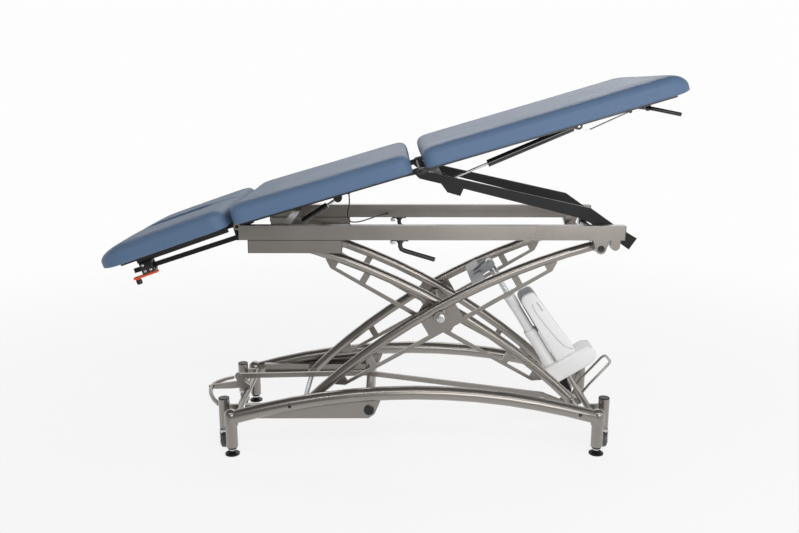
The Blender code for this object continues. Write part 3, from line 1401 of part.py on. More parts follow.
def smooth_route(route, step):
    """Points at a steady step along a smooth curve through a route."""
    knots = [Vector(p) for p in route]
    ends = [knots[0] * 2 - knots[1], *knots, knots[-1] * 2 - knots[-2]]
    fine = []
    for a, b, c, d in zip(ends, ends[1:], ends[2:], ends[3:]):
        for i in range(12):
            t = i / 12
            fine.append(
                0.5 * ((2 * b) + (c - a) * t + (2 * a - 5 * b + 4 * c - d) * t**2 + (3 * b - a - 3 * c + d) * t**3)
            )
    fine.append(knots[-1])
    kept = [fine[0]]
    for point in fine[1:-1]:
        if (point - kept[-1]).length >= step and (point - fine[-1]).length >= step / 2:
            kept.append(point)
    return [*kept, fine[-1]]


def build_cable(couch):
    """Thin release cable that hangs between the middle section and the far rail."""
    route = [(x - PIVOT_HIGH[0], y, z - PIVOT_HIGH[1]) for x, y, z in CABLE_ROUTE]
    couch.node("release_cable", "top_frame", "black_plastic", [tube(smooth_route(route, CABLE_STEP), CABLE, 1)])


def main():
    clear_scene()
    couch = Couch()
    build_base(couch)
    build_castor_gear(couch)
    build_lift(couch)
    build_actuator(couch)
    build_top_frame(couch)
    build_mid_section(couch)
    build_leg_frame(couch)
    build_leg_section(couch)
    build_springs(couch)
    build_head_section(couch)
    build_levers(couch)
    build_cable(couch)


if __name__ == "__main__":
    main()
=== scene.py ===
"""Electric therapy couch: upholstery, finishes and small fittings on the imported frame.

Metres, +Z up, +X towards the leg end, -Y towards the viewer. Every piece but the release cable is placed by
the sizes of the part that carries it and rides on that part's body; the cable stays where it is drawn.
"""

import json
import logging
import math
from collections.abc import Callable
from dataclasses import dataclass, field
from enum import Enum

import bmesh
import bpy
from mathutils import Matrix, Vector


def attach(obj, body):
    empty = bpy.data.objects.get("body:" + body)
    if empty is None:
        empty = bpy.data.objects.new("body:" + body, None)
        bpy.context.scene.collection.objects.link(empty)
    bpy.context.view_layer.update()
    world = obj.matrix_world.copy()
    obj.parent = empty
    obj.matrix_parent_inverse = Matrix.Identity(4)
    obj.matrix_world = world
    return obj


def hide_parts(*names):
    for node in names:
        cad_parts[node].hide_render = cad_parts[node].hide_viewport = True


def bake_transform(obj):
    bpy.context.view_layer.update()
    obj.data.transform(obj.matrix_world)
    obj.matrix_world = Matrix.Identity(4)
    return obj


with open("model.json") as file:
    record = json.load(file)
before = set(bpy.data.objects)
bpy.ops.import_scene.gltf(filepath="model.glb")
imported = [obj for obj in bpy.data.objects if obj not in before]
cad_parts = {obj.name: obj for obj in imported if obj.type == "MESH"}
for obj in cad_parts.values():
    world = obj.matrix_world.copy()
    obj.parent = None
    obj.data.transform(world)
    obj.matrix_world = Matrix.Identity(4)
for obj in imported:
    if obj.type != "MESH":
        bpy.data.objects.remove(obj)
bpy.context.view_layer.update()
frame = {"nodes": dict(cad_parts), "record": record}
LOG = logging.getLogger("therapy_couch")

Point = tuple[float, float, float]
Spot2 = tuple[float, float]
Colour = tuple[float, float, float]
Names = tuple[str, ...]
Outline = tuple[Spot2, ...]
Spots = list[tuple[Point, Point, float]]
Mesh = bpy.types.Mesh
Object = bpy.types.Object
Node = bpy.types.Node
Tree = bpy.types.NodeTree
Socket = bpy.types.NodeSocket
Sockets = tuple[Socket, Socket]
Build = bmesh.types.BMesh
SIDES = (-1.0, 1.0)
ROWS = (("near", -1.0), ("far", 1.0))


class Grain(Enum):
    """How a finish breaks up at close range."""

    SPECKLE = "speckle"
    HIDE = "hide"
    BRUSHED = "brushed"
    MOULDED = "moulded"


class Fitting(Enum):
    """Small turned fittings that repeat over the couch."""

    CAP = "cap"
    PLUG = "plug"
    BOLT = "bolt"
    HUB = "hub"
    VENT = "vent"
    NUT = "nut"


class Graph:
    """A node tree with short calls to add and wire nodes."""

    def __init__(self, tree: Tree) -> None:
        """Keep the tree."""
        self.tree = tree

    def add(self, kind: str, wires: dict | None = None, **settings: object) -> Node:
        """Add one node.

        Args:
            kind: Blender's type name of the node.
            wires: Input by name or index to a plain value or to the socket that feeds it.
            settings: Properties of the node itself.

        Returns:
            The new node.
        """
        node = self.tree.nodes.new(kind)
        for key, value in settings.items():
            setattr(node, key, value)
        self.feed(node, wires or {})
        return node

    def feed(self, node: Node, wires: dict) -> None:
        """Set a node's inputs.

        Args:
            node: The node.
            wires: Input by name or index to a plain value or to the socket that feeds it.
        """
        for key, value in wires.items():
            if isinstance(value, Socket):
                self.tree.links.new(value, node.inputs[key])
            else:
                node.inputs[key].default_value = value

    def socket(self, label: str, kind: str, value: float | None = None, way: str = "INPUT") -> None:
        """Add a named socket to the tree's own interface.

        Args:
            label: The socket's name.
            kind: The end of Blender's name for its type.
            value: Its default, if it has one.
            way: INPUT or OUTPUT.
        """
        made = self.tree.interface.new_socket(name=label, in_out=way, socket_type=f"NodeSocket{kind}")
        if value is not None:
            made.default_value = value

    def noise(self, place: Socket, scale: object, detail: float) -> Node:
        """Add a noise texture at a place."""
        return self.add("ShaderNodeTexNoise", {"Vector": place, "Scale": scale, "Detail": detail})

    def remap(self, value: object, span: Spot2, to: Spot2, smooth: bool = False) -> Socket:
        """Map a number from one span to another.

        Args:
            value: The socket that gives the number.
            span: The span that it comes from.
            to: The span that it goes to.
            smooth: Whether it eases in and out.

        Returns:
            The socket of the mapped number.
        """
        wires = {"Value": value, "From Min": span[0], "From Max": span[1], "To Min": to[0], "To Max": to[1]}
        kind = "SMOOTHSTEP" if smooth else "LINEAR"
        return self.add("ShaderNodeMapRange", wires, interpolation_type=kind).outputs[0]

    def mix(self, share: object, first: object, second: object, **settings: object) -> Socket:
        """Mix two colours and give the socket of the result."""
        wires = {0: share, 6: first, 7: second}
        return self.add("ShaderNodeMix", wires, data_type="RGBA", **settings).outputs[2]

    def shared(self, share: object, first: Node, second: Node) -> Node:
        """Mix two shaders."""
        return self.add("ShaderNodeMixShader", {0: share, 1: first.outputs[0], 2: second.outputs[0]})


class Effects:
    """Shader node groups that several finishes share."""

    def __init__(self) -> None:
        """Build each group once."""
        self.groups = {
            Grain.SPECKLE: self.pattern("powder_speckle", self.speckle),
            Grain.HIDE: self.pattern("vinyl_hide", self.hide),
            Grain.BRUSHED: self.pattern("plated_streaks", self.brushed),
            Grain.MOULDED: self.pattern("moulded_spark", self.moulded),
        }
        self.edges = self.glint_and_wear_edges()

    @staticmethod
    def blank(name: str, number: str, value: float, outputs: Names) -> tuple[Graph, dict, Node]:
        """Start a group with a vector input, one named number and named outputs.

        Args:
            name: The group's name.
            number: The name of the number.
            value: The number's default.
            outputs: Names of the outputs.

        Returns:
            The graph, the input sockets by name and the output node.
        """
        graph = Graph(bpy.data.node_groups.new(name, "ShaderNodeTree"))
        graph.socket("Vector", "Vector")
        graph.socket(number, "Float", value)
        for label in outputs:
            graph.socket(label, "Float", way="OUTPUT")
        entry = graph.add("NodeGroupInput")
        return graph, {socket.name: socket for socket in entry.outputs}, graph.add("NodeGroupOutput")

    def pattern(self, name: str, maker: Callable[[Graph, Socket, Socket], Sockets]) -> Tree:
        """Build a surface pattern group.

        Args:
            name: The group's name.
            maker: Gives the sockets of height and tone from the graph, the place and the scale.

        Returns:
            The group, with the outputs Height, Tone and a broad soft Cloud.
        """
        graph, entry, leave = self.blank(name, "Scale", 500.0, ("Height", "Tone", "Cloud"))
        cloud = graph.noise(entry["Vector"], 9.0, 4.0).outputs["Fac"]
        height, tone = maker(graph, entry["Vector"], entry["Scale"])
        graph.feed(leave, {"Height": height, "Tone": tone, "Cloud": cloud})
        return graph.tree

    @staticmethod
    def cell_tone(graph: Graph, place: Socket, scale: object) -> Socket:
        """A random number for each small cell of a surface."""
        cells = graph.add("ShaderNodeTexVoronoi", {"Vector": place, "Scale": scale})
        return graph.add("ShaderNodeSeparateColor", {"Color": cells.outputs["Color"]}).outputs[0]

    def speckle(self, graph: Graph, place: Socket, scale: Socket) -> Sockets:
        """Powder coat: fine orange peel with small bright flakes."""
        flakes = graph.add("ShaderNodeMath", {0: scale, 1: 3.0}, operation="MULTIPLY").outputs[0]
        return graph.noise(place, scale, 3.0).outputs["Fac"], self.cell_tone(graph, place, flakes)

    @staticmethod
    def hide(graph: Graph, place: Socket, scale: Socket) -> Sockets:
        """Upholstery vinyl: pebbled cells with fine creases between them."""
        stir = graph.noise(place, 160.0, 2.0).outputs["Color"]
        wires = {0: stir, 1: (0.0016, 0.0016, 0.0016), 2: place}
        push = graph.add("ShaderNodeVectorMath", wires, operation="MULTIPLY_ADD")
        wires = {"Vector": push.outputs[0], "Scale": scale}
        cells = graph.add("ShaderNodeTexVoronoi", wires, feature="DISTANCE_TO_EDGE")
        pebble = graph.remap(cells.outputs["Distance"], (0.0, 0.22), (0.0, 1.0), smooth=True)
        return pebble, pebble

    def brushed(self, graph: Graph, place: Socket, scale: Socket) -> Sockets:
        """Plated steel: soft drawn streaks along the depth of the couch with a crystalline tone."""
        drawn = graph.add("ShaderNodeMapping", {"Vector": place, "Scale": (1.0, 0.06, 1.0)})
        streak = graph.noise(drawn.outputs[0], scale, 3.0).outputs["Fac"]
        return streak, self.cell_tone(graph, place, 90.0)

    @staticmethod
    def moulded(graph: Graph, place: Socket, scale: Socket) -> Sockets:
        """Moulded plastic and rubber: even fine spark texture."""
        fine = graph.noise(place, scale, 5.0).outputs["Fac"]
        return fine, fine

    def glint_and_wear_edges(self) -> Tree:
        """A broken mask of the sharp edges, for a painted edge highlight that is broken up in patches like
        wear.
        """
        graph, entry, leave = self.blank("glint_and_wear_edges", "Radius", 0.001, ("Mask",))
        soft = graph.add("ShaderNodeBevel", {"Radius": entry["Radius"]}, samples=4)
        true = graph.add("ShaderNodeNewGeometry")
        turn = graph.add(
            "ShaderNodeVectorMath", {0: soft.outputs[0], 1: true.outputs["Normal"]}, operation="DOT_PRODUCT"
        )
        mask = graph.remap(turn.outputs["Value"], (0.93, 0.80), (0.0, 1.0))
        broken = graph.noise(entry["Vector"], 140.0, 4.0)
        patchy = graph.remap(broken.outputs["Fac"], (0.35, 0.65), (0.0, 1.0))
        glint_wear_mask = graph.add("ShaderNodeMath", {0: mask, 1: patchy}, operation="MULTIPLY")
        graph.feed(leave, {"Mask": glint_wear_mask.outputs[0]})
        return graph.tree


@dataclass(frozen=True)
class Finish:
    """One surface finish: its colour, gloss and close-range break-up."""

    name: str
    colour: Colour
    roughness: float
    metallic: float
    grain: Grain
    scale: float
    depth: float
    spread: float = 0.06
    vary: float = 0.08
    tone: float = 0.05
    # Colour gain on the edges: a painted edge highlight together with patchy wear.
    glint_wear_gain: float = 1.5
    edge: float = 0.001
    coat: float = 0.0
    specular: float = 0.5

    def shade(self, gain: float) -> tuple[float, float, float, float]:
        """The colour times a gain, as a socket value."""
        return (*(min(channel * gain, 1.0) for channel in self.colour), 1.0)

    def material(self, effects: Effects) -> bpy.types.Material:
        """Build the node material.

        Args:
            effects: The shared shader groups.

        Returns:
            The material, named after the finish.
        """
        made = bpy.data.materials.new(self.name)
        made.use_nodes = True
        graph = Graph(made.node_tree)
        shader = made.node_tree.nodes["Principled BSDF"]
        place = graph.add("ShaderNodeTexCoord").outputs["Object"]
        wires = {"Vector": place, "Scale": self.scale}
        marks = graph.add("ShaderNodeGroup", wires, node_tree=effects.groups[self.grain])
        edges = graph.add("ShaderNodeGroup", {"Vector": place, "Radius": self.edge}, node_tree=effects.edges)
        broad = graph.mix(marks.outputs["Cloud"], self.shade(1 - self.vary), self.shade(1 + self.vary))
        lift = graph.remap(marks.outputs["Tone"], (0.0, 1.0), (1 - self.tone, 1 + self.tone))
        toned = graph.mix(1.0, broad, lift, blend_type="MULTIPLY")
        # Lighter colour on the edge mask: a painted edge highlight, broken up in patches like wear.
        glint_and_wear_colour = graph.mix(edges.outputs["Mask"], toned, self.shade(self.glint_wear_gain))
        gloss_span = (self.roughness - self.spread, self.roughness + self.spread)
        gloss = graph.remap(marks.outputs["Cloud"], (0.3, 0.7), gloss_span)
        wires = {"Height": marks.outputs["Height"], "Distance": self.depth, "Strength": 0.6}
        bump = graph.add("ShaderNodeBump", wires)
        wires = {
            "Base Color": glint_and_wear_colour,
            "Roughness": gloss,
            "Normal": bump.outputs[0],
            "Metallic": self.metallic,
            "Coat Weight": self.coat,
            "Coat Roughness": 0.16,
            "Specular IOR Level": self.specular,
        }
        graph.feed(shader, wires)
        return made


FINISHES = (
    Finish(
        "powder_coat", (0.290, 0.266, 0.242), 0.29, 0.85, Grain.SPECKLE, 900.0, 0.00003, 0.02,
        vary=0.05, tone=0.06, glint_wear_gain=1.25, coat=0.4,
    ),
    Finish("zinc", (0.60, 0.61, 0.62), 0.29, 1.0, Grain.BRUSHED, 700.0, 0.00001, 0.04, glint_wear_gain=1.1),
    Finish("satin_grey", (0.33, 0.34, 0.35), 0.5, 0.55, Grain.SPECKLE, 900.0, 0.0001, tone=0.08),
    Finish(
        "dark_coat", (0.010, 0.010, 0.011), 0.42, 0.1, Grain.SPECKLE, 1100.0, 0.0002,
        tone=0.2, glint_wear_gain=2.2, specular=0.25,
    ),
    Finish("black_plastic", (0.007, 0.007, 0.008), 0.38, 0.0, Grain.MOULDED, 1400.0, 0.0001, glint_wear_gain=2.0),
    Finish("black_gloss", (0.010, 0.010, 0.011), 0.2, 0.0, Grain.MOULDED, 900.0, 0.00003, coat=0.5),
    Finish(
        "actuator_grey", (0.86, 0.86, 0.85), 0.40, 0.0, Grain.MOULDED, 1500.0, 0.00008,
        vary=0.03, glint_wear_gain=1.05,
    ),
    Finish("cap_grey", (0.36, 0.37, 0.38), 0.45, 0.0, Grain.MOULDED, 1500.0, 0.00008, vary=0.04, glint_wear_gain=1.1),
    Finish(
        "upholstery", (0.100, 0.163, 0.268), 0.46, 0.0, Grain.HIDE, 620.0, 0.0002, 0.03,
        vary=0.05, glint_wear_gain=1.0, specular=0.25,
    ),
    Finish("wheel_rubber", (0.085, 0.085, 0.09), 0.55, 0.0, Grain.MOULDED, 900.0, 0.0002, vary=0.12),
    Finish("lever_orange", (0.80, 0.10, 0.015), 0.4, 0.0, Grain.MOULDED, 1300.0, 0.0001, glint_wear_gain=1.15),
)


class Workshop:
    """Finishes and node trees with which the couch's classes add their pieces."""

    def __init__(self) -> None:
        """Build the finishes and the two geometry trees."""
        effects = Effects()
        self.finishes = {finish.name: finish.material(effects) for finish in FINISHES}
        self.soften = self.soften_tree()
        self.scatter = self.scatter_tree()
        self.slots = {row["node"]: row["material_slot"] for row in frame["record"]["subparts"]}

    @staticmethod
    def soften_tree() -> Tree:
        """Geometry nodes that weld a loose-triangle solid and shade it smooth between its sharp edges.

        Returns:
            The tree, with a named input for the sharp angle.
        """
        graph = Graph(bpy.data.node_groups.new("weld_and_smooth", "GeometryNodeTree"))
        graph.socket("Geometry", "Geometry")
        graph.socket("Sharp Angle", "Float", math.radians(33.0))
        graph.socket("Geometry", "Geometry", way="OUTPUT")
        entry = graph.add("NodeGroupInput")
        wires = {"Geometry": entry.outputs[0], "Name": "custom_normal"}
        plain = graph.add("GeometryNodeRemoveAttribute", wires)
        weld = graph.add("GeometryNodeMergeByDistance", {"Geometry": plain.outputs[0], "Distance": 1.5e-4})
        angle = graph.add("GeometryNodeInputMeshEdgeAngle")
        wires = {0: angle.outputs[0], 1: entry.outputs[1]}
        hard = graph.add("FunctionNodeCompare", wires, data_type="FLOAT", operation="GREATER_THAN")
        wires = {"Geometry": weld.outputs[0], "Shade Smooth": True}
        smooth = graph.add("GeometryNodeSetShadeSmooth", wires, domain="FACE")
        wires = {"Geometry": smooth.outputs[0], "Selection": hard.outputs[0], "Shade Smooth": False}
        crisp = graph.add("GeometryNodeSetShadeSmooth", wires, domain="EDGE")
        graph.add("NodeGroupOutput", {0: crisp.outputs[0]})
        return graph.tree

    @staticmethod
    def scatter_tree() -> Tree:
        """Geometry nodes that set one fitting on every point, along the point's axis and at its size.

        Returns:
            The tree, with named inputs for the fitting and its finish.
        """
        graph = Graph(bpy.data.node_groups.new("set_fittings", "GeometryNodeTree"))
        for label, kind in (("Geometry", "Geometry"), ("Fitting", "Object"), ("Finish", "Material")):
            graph.socket(label, kind)
        graph.socket("Geometry", "Geometry", way="OUTPUT")
        entry = graph.add("NodeGroupInput")
        shape = graph.add("GeometryNodeObjectInfo", {"Object": entry.outputs[1]})
        axis = graph.add("GeometryNodeInputNamedAttribute", {"Name": "axis"}, data_type="FLOAT_VECTOR")
        size = graph.add("GeometryNodeInputNamedAttribute", {"Name": "size"}, data_type="FLOAT")
        turn = graph.add("FunctionNodeAlignRotationToVector", {"Vector": axis.outputs[0]}, axis="Z")
        copies = graph.add(
            "GeometryNodeInstanceOnPoints",
            {
                "Points": entry.outputs[0],
                "Instance": shape.outputs["Geometry"],
                "Rotation": turn.outputs[0],
                "Scale": size.outputs[0],
            },
        )
        real = graph.add("GeometryNodeRealizeInstances", {"Geometry": copies.outputs[0]})
        wires = {"Geometry": real.outputs[0], "Material": entry.outputs[2]}
        dressed = graph.add("GeometryNodeSetMaterial", wires)
        graph.add("NodeGroupOutput", {0: dressed.outputs[0]})
        return graph.tree

    @staticmethod
    def set_input(modifier: bpy.types.Modifier, label: str, value: object) -> None:
        """Set a geometry tree's named input through its socket identifier."""
        for item in modifier.node_group.interface.items_tree:
            if item.name == label and item.in_out == "INPUT":
                modifier[item.identifier] = value

    def dress_nodes(self, special: dict[str, str]) -> None:
        """Give every solid of the frame its finish and smooth shading.

        Args:
            special: Node name to a finish other than its slot's own.
        """
        for name, obj in frame["nodes"].items():
            obj.data.materials.clear()
            obj.data.materials.append(self.finishes[special.get(name, self.slots[name])])
            obj.modifiers.new("weld_and_smooth", "NODES").node_group = self.soften
            LOG.info("finish on %s", name)

    def piece(
        self,
        name: str,
        body: str,
        finish: str,
        mesh: Mesh,
        slot: str | None = None,
        smooth: float = 40.0,
    ) -> Object:
        """Add one finished piece.

        Args:
            name: The piece's name.
            body: The body that it rides on.
            finish: The finish on it.
            mesh: Its mesh, in place.
            slot: The record's slot, where it isn't the finish's own name; not used.
            smooth: Edges sharper than this many degrees stay crisp.

        Returns:
            The piece.
        """
        mesh.materials.clear()
        mesh.materials.append(self.finishes[finish])
        mesh.shade_smooth()
        mesh.set_sharp_from_angle(angle=math.radians(smooth))
        mesh.name = name
        obj = linked(name, mesh)
        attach(obj, body)
        LOG.info("piece %s on %s", name, body)
        return obj

    def fittings(
        self,
        name: str,
        body: str,
        finish: str,
        kind: Fitting,
        spots: Spots,
        slot: str | None = None,
    ) -> Object:
        """Set one kind of fitting on several spots of one body.

        Args:
            name: The piece's name.
            body: The body that carries the fittings.
            finish: The finish on them.
            kind: Which fitting.
            spots: Place, outward axis and radius of each.
            slot: The record's slot, where it isn't the finish's own name; handed on to piece, which doesn't
                use it.

        Returns:
            One piece with all of them.
        """
        pattern = linked("pattern", fitting_mesh(kind))
        points = bpy.data.meshes.new(name)
        points.from_pydata([at for at, _, _ in spots], [], [])
        axis = points.attributes.new("axis", "FLOAT_VECTOR", "POINT")
        axis.data.foreach_set("vector", [value for _, way, _ in spots for value in way])
        size = points.attributes.new("size", "FLOAT", "POINT")
        size.data.foreach_set("value", [radius for _, _, radius in spots])
        carrier = linked(name, points)
        step = carrier.modifiers.new("set_fittings", "NODES")
        step.node_group = self.scatter
        self.set_input(step, "Fitting", pattern)
        self.set_input(step, "Finish", self.finishes[finish])
        mesh = evaluated(carrier)
        for obj in (carrier, pattern):
            bpy.data.objects.remove(obj, do_unlink=True)
        return self.piece(name, body, finish, mesh, slot)


def linked(name: str, data: bpy.types.ID) -> Object:
    """A new object in the scene."""
    obj = bpy.data.objects.new(name, data)
    bpy.context.scene.collection.objects.link(obj)
    return obj


def evaluated(obj: Object) -> Mesh:
    """A new mesh with the object's modifiers applied."""
    bpy.context.view_layer.update()
    graph = bpy.context.evaluated_depsgraph_get()
    return bpy.data.meshes.new_from_object(obj.evaluated_get(graph))


def rectangle(x_low: float, x_high: float, z_low: float, z_high: float) -> list[Spot2]:
    """Side-view corners of an upright rectangle."""
    return [(x_low, z_low), (x_high, z_low), (x_high, z_high), (x_low, z_high)]


def depths(side: float, inner: float, outer: float) -> Spot2:
    """Two depths on one side of the couch, in rising order."""
    return tuple(sorted((side * inner, side * outer)))


def both(at: Spot2, y: float, radius: float) -> Spots:
    """Spots at one side-view place on both sides of the couch, facing outwards."""
    return [((at[0], side * y, at[1]), (0.0, side, 0.0), radius) for side in SIDES]


def skin(bm: Build, pairs: list[tuple[list, list]]) -> None:
    """Faces between pairs of rings that have as many points as each other."""
    for low, high in pairs:
        for i in range(len(low)):
            j = (i + 1) % len(low)
            bm.faces.new((low[i], low[j], high[j], high[i]))


def from_bmesh(bm: Build) -> Mesh:
    """A mesh from a bmesh, welded and facing outwards, with the bmesh freed."""
    bmesh.ops.remove_doubles(bm, verts=bm.verts, dist=1e-6)
    bmesh.ops.recalc_face_normals(bm, faces=bm.faces)
    mesh = bpy.data.meshes.new("piece")
    bm.to_mesh(mesh)
    bm.free()
    return mesh


def turned(profile: list[Spot2], steps: int, bm: Build | None = None) -> Build:
    """A solid turned about Z.

    Args:
        profile: Radius and height of each ring, from one end on the axis to the other.
        steps: Number of sides.
        bm: A bmesh to add to.

    Returns:
        The bmesh.
    """
    bm = bmesh.new() if bm is None else bm
    rings = []
    for radius, height in profile:
        if radius < 1e-7:
            rings.append([bm.verts.new((0.0, 0.0, height))])
            continue
        angles = [2 * math.pi * i / steps for i in range(steps)]
        rings.append([bm.verts.new((radius * math.cos(a), radius * math.sin(a), height)) for a in angles])
    for low, high in zip(rings, rings[1:]):
        for i in range(steps):
            j = (i + 1) % steps
            corners = [low[i % len(low)], low[j % len(low)], high[j % len(high)], high[i % len(high)]]
            bm.faces.new(list(dict.fromkeys(corners)))
    return bm


def fitting_mesh(kind: Fitting) -> Mesh:
    """The unit-radius form of a fitting, standing on Z = 0 and pointing up."""
    cap = [(0.0, -0.05), (1.0, -0.05), (1.04, 0.06), (1.0, 0.16), (0.86, 0.22), (0.7, 0.19), (0.0, 0.19)]
    plug = [(0.0, -0.1), (1.0, -0.1), (1.0, 0.12), (0.85, 0.26), (0.5, 0.36), (0.0, 0.4)]
    rim = [(0.0, -0.1), (1.0, -0.1), (1.0, 0.08), (0.8, 0.14), (0.75, 0.02), (0.4, 0.02)]
    hub = [*rim, (0.34, 0.2), (0.0, 0.24)]
    vent = [(0.0, -0.3), (1.0, -0.3), (1.0, 0.08), (0.8, 0.16), (0.0, 0.16)]
    nut = [(0.0, 0.0), (0.94, 0.0), (1.0, 0.06), (1.0, 0.54), (0.94, 0.6), (0.0, 0.6)]
    washer = [(0.0, -0.05), (1.0, -0.05), (1.0, 0.1), (0.95, 0.14), (0.0, 0.14)]
    head = [(0.0, 0.1), (0.8, 0.1), (0.8, 0.62), (0.7, 0.7), (0.0, 0.72)]
    profiles = {
        Fitting.CAP: [(cap, 24)],
        Fitting.PLUG: [(plug, 24)],
        Fitting.HUB: [(hub, 24)],
        Fitting.VENT: [(vent, 10)],
        Fitting.NUT: [(nut, 6)],
        Fitting.BOLT: [(washer, 24), (head, 6)],
    }
    bm = bmesh.new()
    for profile, steps in profiles[kind]:
        turned(profile, steps, bm)
    return from_bmesh(bm)


def tube_mesh(points: list[Point], radius: float, sides: int = 10) -> Mesh:
    """A round tube along a run of points, closed at both ends.

    Args:
        points: The run.
        radius: The tube's radius.
        sides: Number of sides.

    Returns:
        The mesh.
    """
    run = [Vector(point) for point in points]
    bm = bmesh.new()
    rings = []
    normal = Vector((0.0, 0.0, 1.0))
    for i, at in enumerate(run):
        ahead = (run[min(i + 1, len(run) - 1)] - run[max(i - 1, 0)]).normalized()
        along = normal.dot(ahead)
        normal = (normal - ahead * along).normalized() if abs(along) < 0.999 else ahead.orthogonal()
        other = ahead.cross(normal)
        angles = [2 * math.pi * k / sides for k in range(sides)]
        ways = [normal * math.cos(a) + other * math.sin(a) for a in angles]
        rings.append([bm.verts.new(at + way * radius) for way in ways])
    skin(bm, list(zip(rings, rings[1:])))
    bm.faces.new(rings[0])
    bm.faces.new(rings[-1])
    return from_bmesh(bm)


def slab_mesh(outline: list[Spot2], low: float, high: float, round_off: float, segments: int = 3) -> Mesh:
    """A plate drawn in side view between two depths, with rounded edges.

    Args:
        outline: Side-view corners.
        low: Nearer depth.
        high: Farther depth.
        round_off: Radius of the edges.
        segments: Steps of the rounding.

    Returns:
        The mesh, in the same frame as the outline.
    """
    bm = bmesh.new()
    near = [bm.verts.new((x, low, z)) for x, z in outline]
    far = [bm.verts.new((x, high, z)) for x, z in outline]
    bm.faces.new(near)
    bm.faces.new(list(reversed(far)))
    count = len(outline)
    for i in range(count):
        j = (i + 1) % count
        bm.faces.new((near[j], near[i], far[i], far[j]))
    bmesh.ops.recalc_face_normals(bm, faces=bm.faces)
    bmesh.ops.bevel(bm, geom=bm.edges, offset=round_off, segments=segments, profile=0.5, affect="EDGES")
    return from_bmesh(bm)


def rounded_plan(low: float, high: float, half: float, corners: Spot2) -> list[Spot2]:
    """A plan outline with rounded corners.

    Args:
        low: Its lower end along the couch.
        high: Its upper end along the couch.
        half: Half its width.
        corners: Radius of the corners at the lower and at the upper end.

    Returns:
        Plan points, the same number for every outline.
    """
    steps = 12
    points = []
    quarters = ((high, 1, 1, 0), (low, -1, 1, 90), (low, -1, -1, 180), (high, 1, -1, 270))
    for edge, along, across, start in quarters:
        radius = corners[1 if along > 0 else 0]
        for i in range(steps + 1):
            angle = math.radians(start + 90 * i / steps)
            x = edge - along * radius + radius * math.cos(angle)
            points.append((x, across * (half - radius) + radius * math.sin(angle)))
    return points


def smooth_run(knots: list[Point], steps: int) -> list[Point]:
    """Points of a smooth curve through the knots, with a number of steps between each pair."""
    spots = [Vector(knot) for knot in knots]
    ends = [spots[0] * 2 - spots[1], *spots, spots[-1] * 2 - spots[-2]]
    out = []
    for a, b, c, d in zip(ends, ends[1:], ends[2:], ends[3:]):
        for i in range(steps):
            t = i / steps
            linear = b * 2 + (c - a) * t
            curved = (a * 2 - b * 5 + c * 4 - d) * t**2 + (b * 3 - a - c * 3 + d) * t**3
            out.append(tuple((linear + curved) / 2))
    return [*out, tuple(spots[-1])]


@dataclass(frozen=True)
class Place:
    """A tilted side-view frame: s runs along it, t stands up from it."""

    x: float
    z: float
    tilt: float

    def matrix(self) -> Matrix:
        """The frame as a matrix on (s, y, t) points."""
        return Matrix.Translation((self.x, 0.0, self.z)) @ Matrix.Rotation(-math.radians(self.tilt), 4, "Y")

    def at(self, s: float, y: float, t: float) -> Point:
        """A point of the frame in the couch's own axes."""
        return tuple(self.matrix() @ Vector((s, y, t)))

    def put(self, mesh: Mesh) -> Mesh:
        """The mesh moved from the frame into place."""
        mesh.transform(self.matrix())
        return mesh


MID = Place(-0.514869, 0.833929, 16.49)
LEG = Place(0.105136, 1.017465, 16.4)
HEAD = Place(-0.537402, 0.827258, 19.3)
ACTUATOR = Place(0.681, 0.157, 121.717)


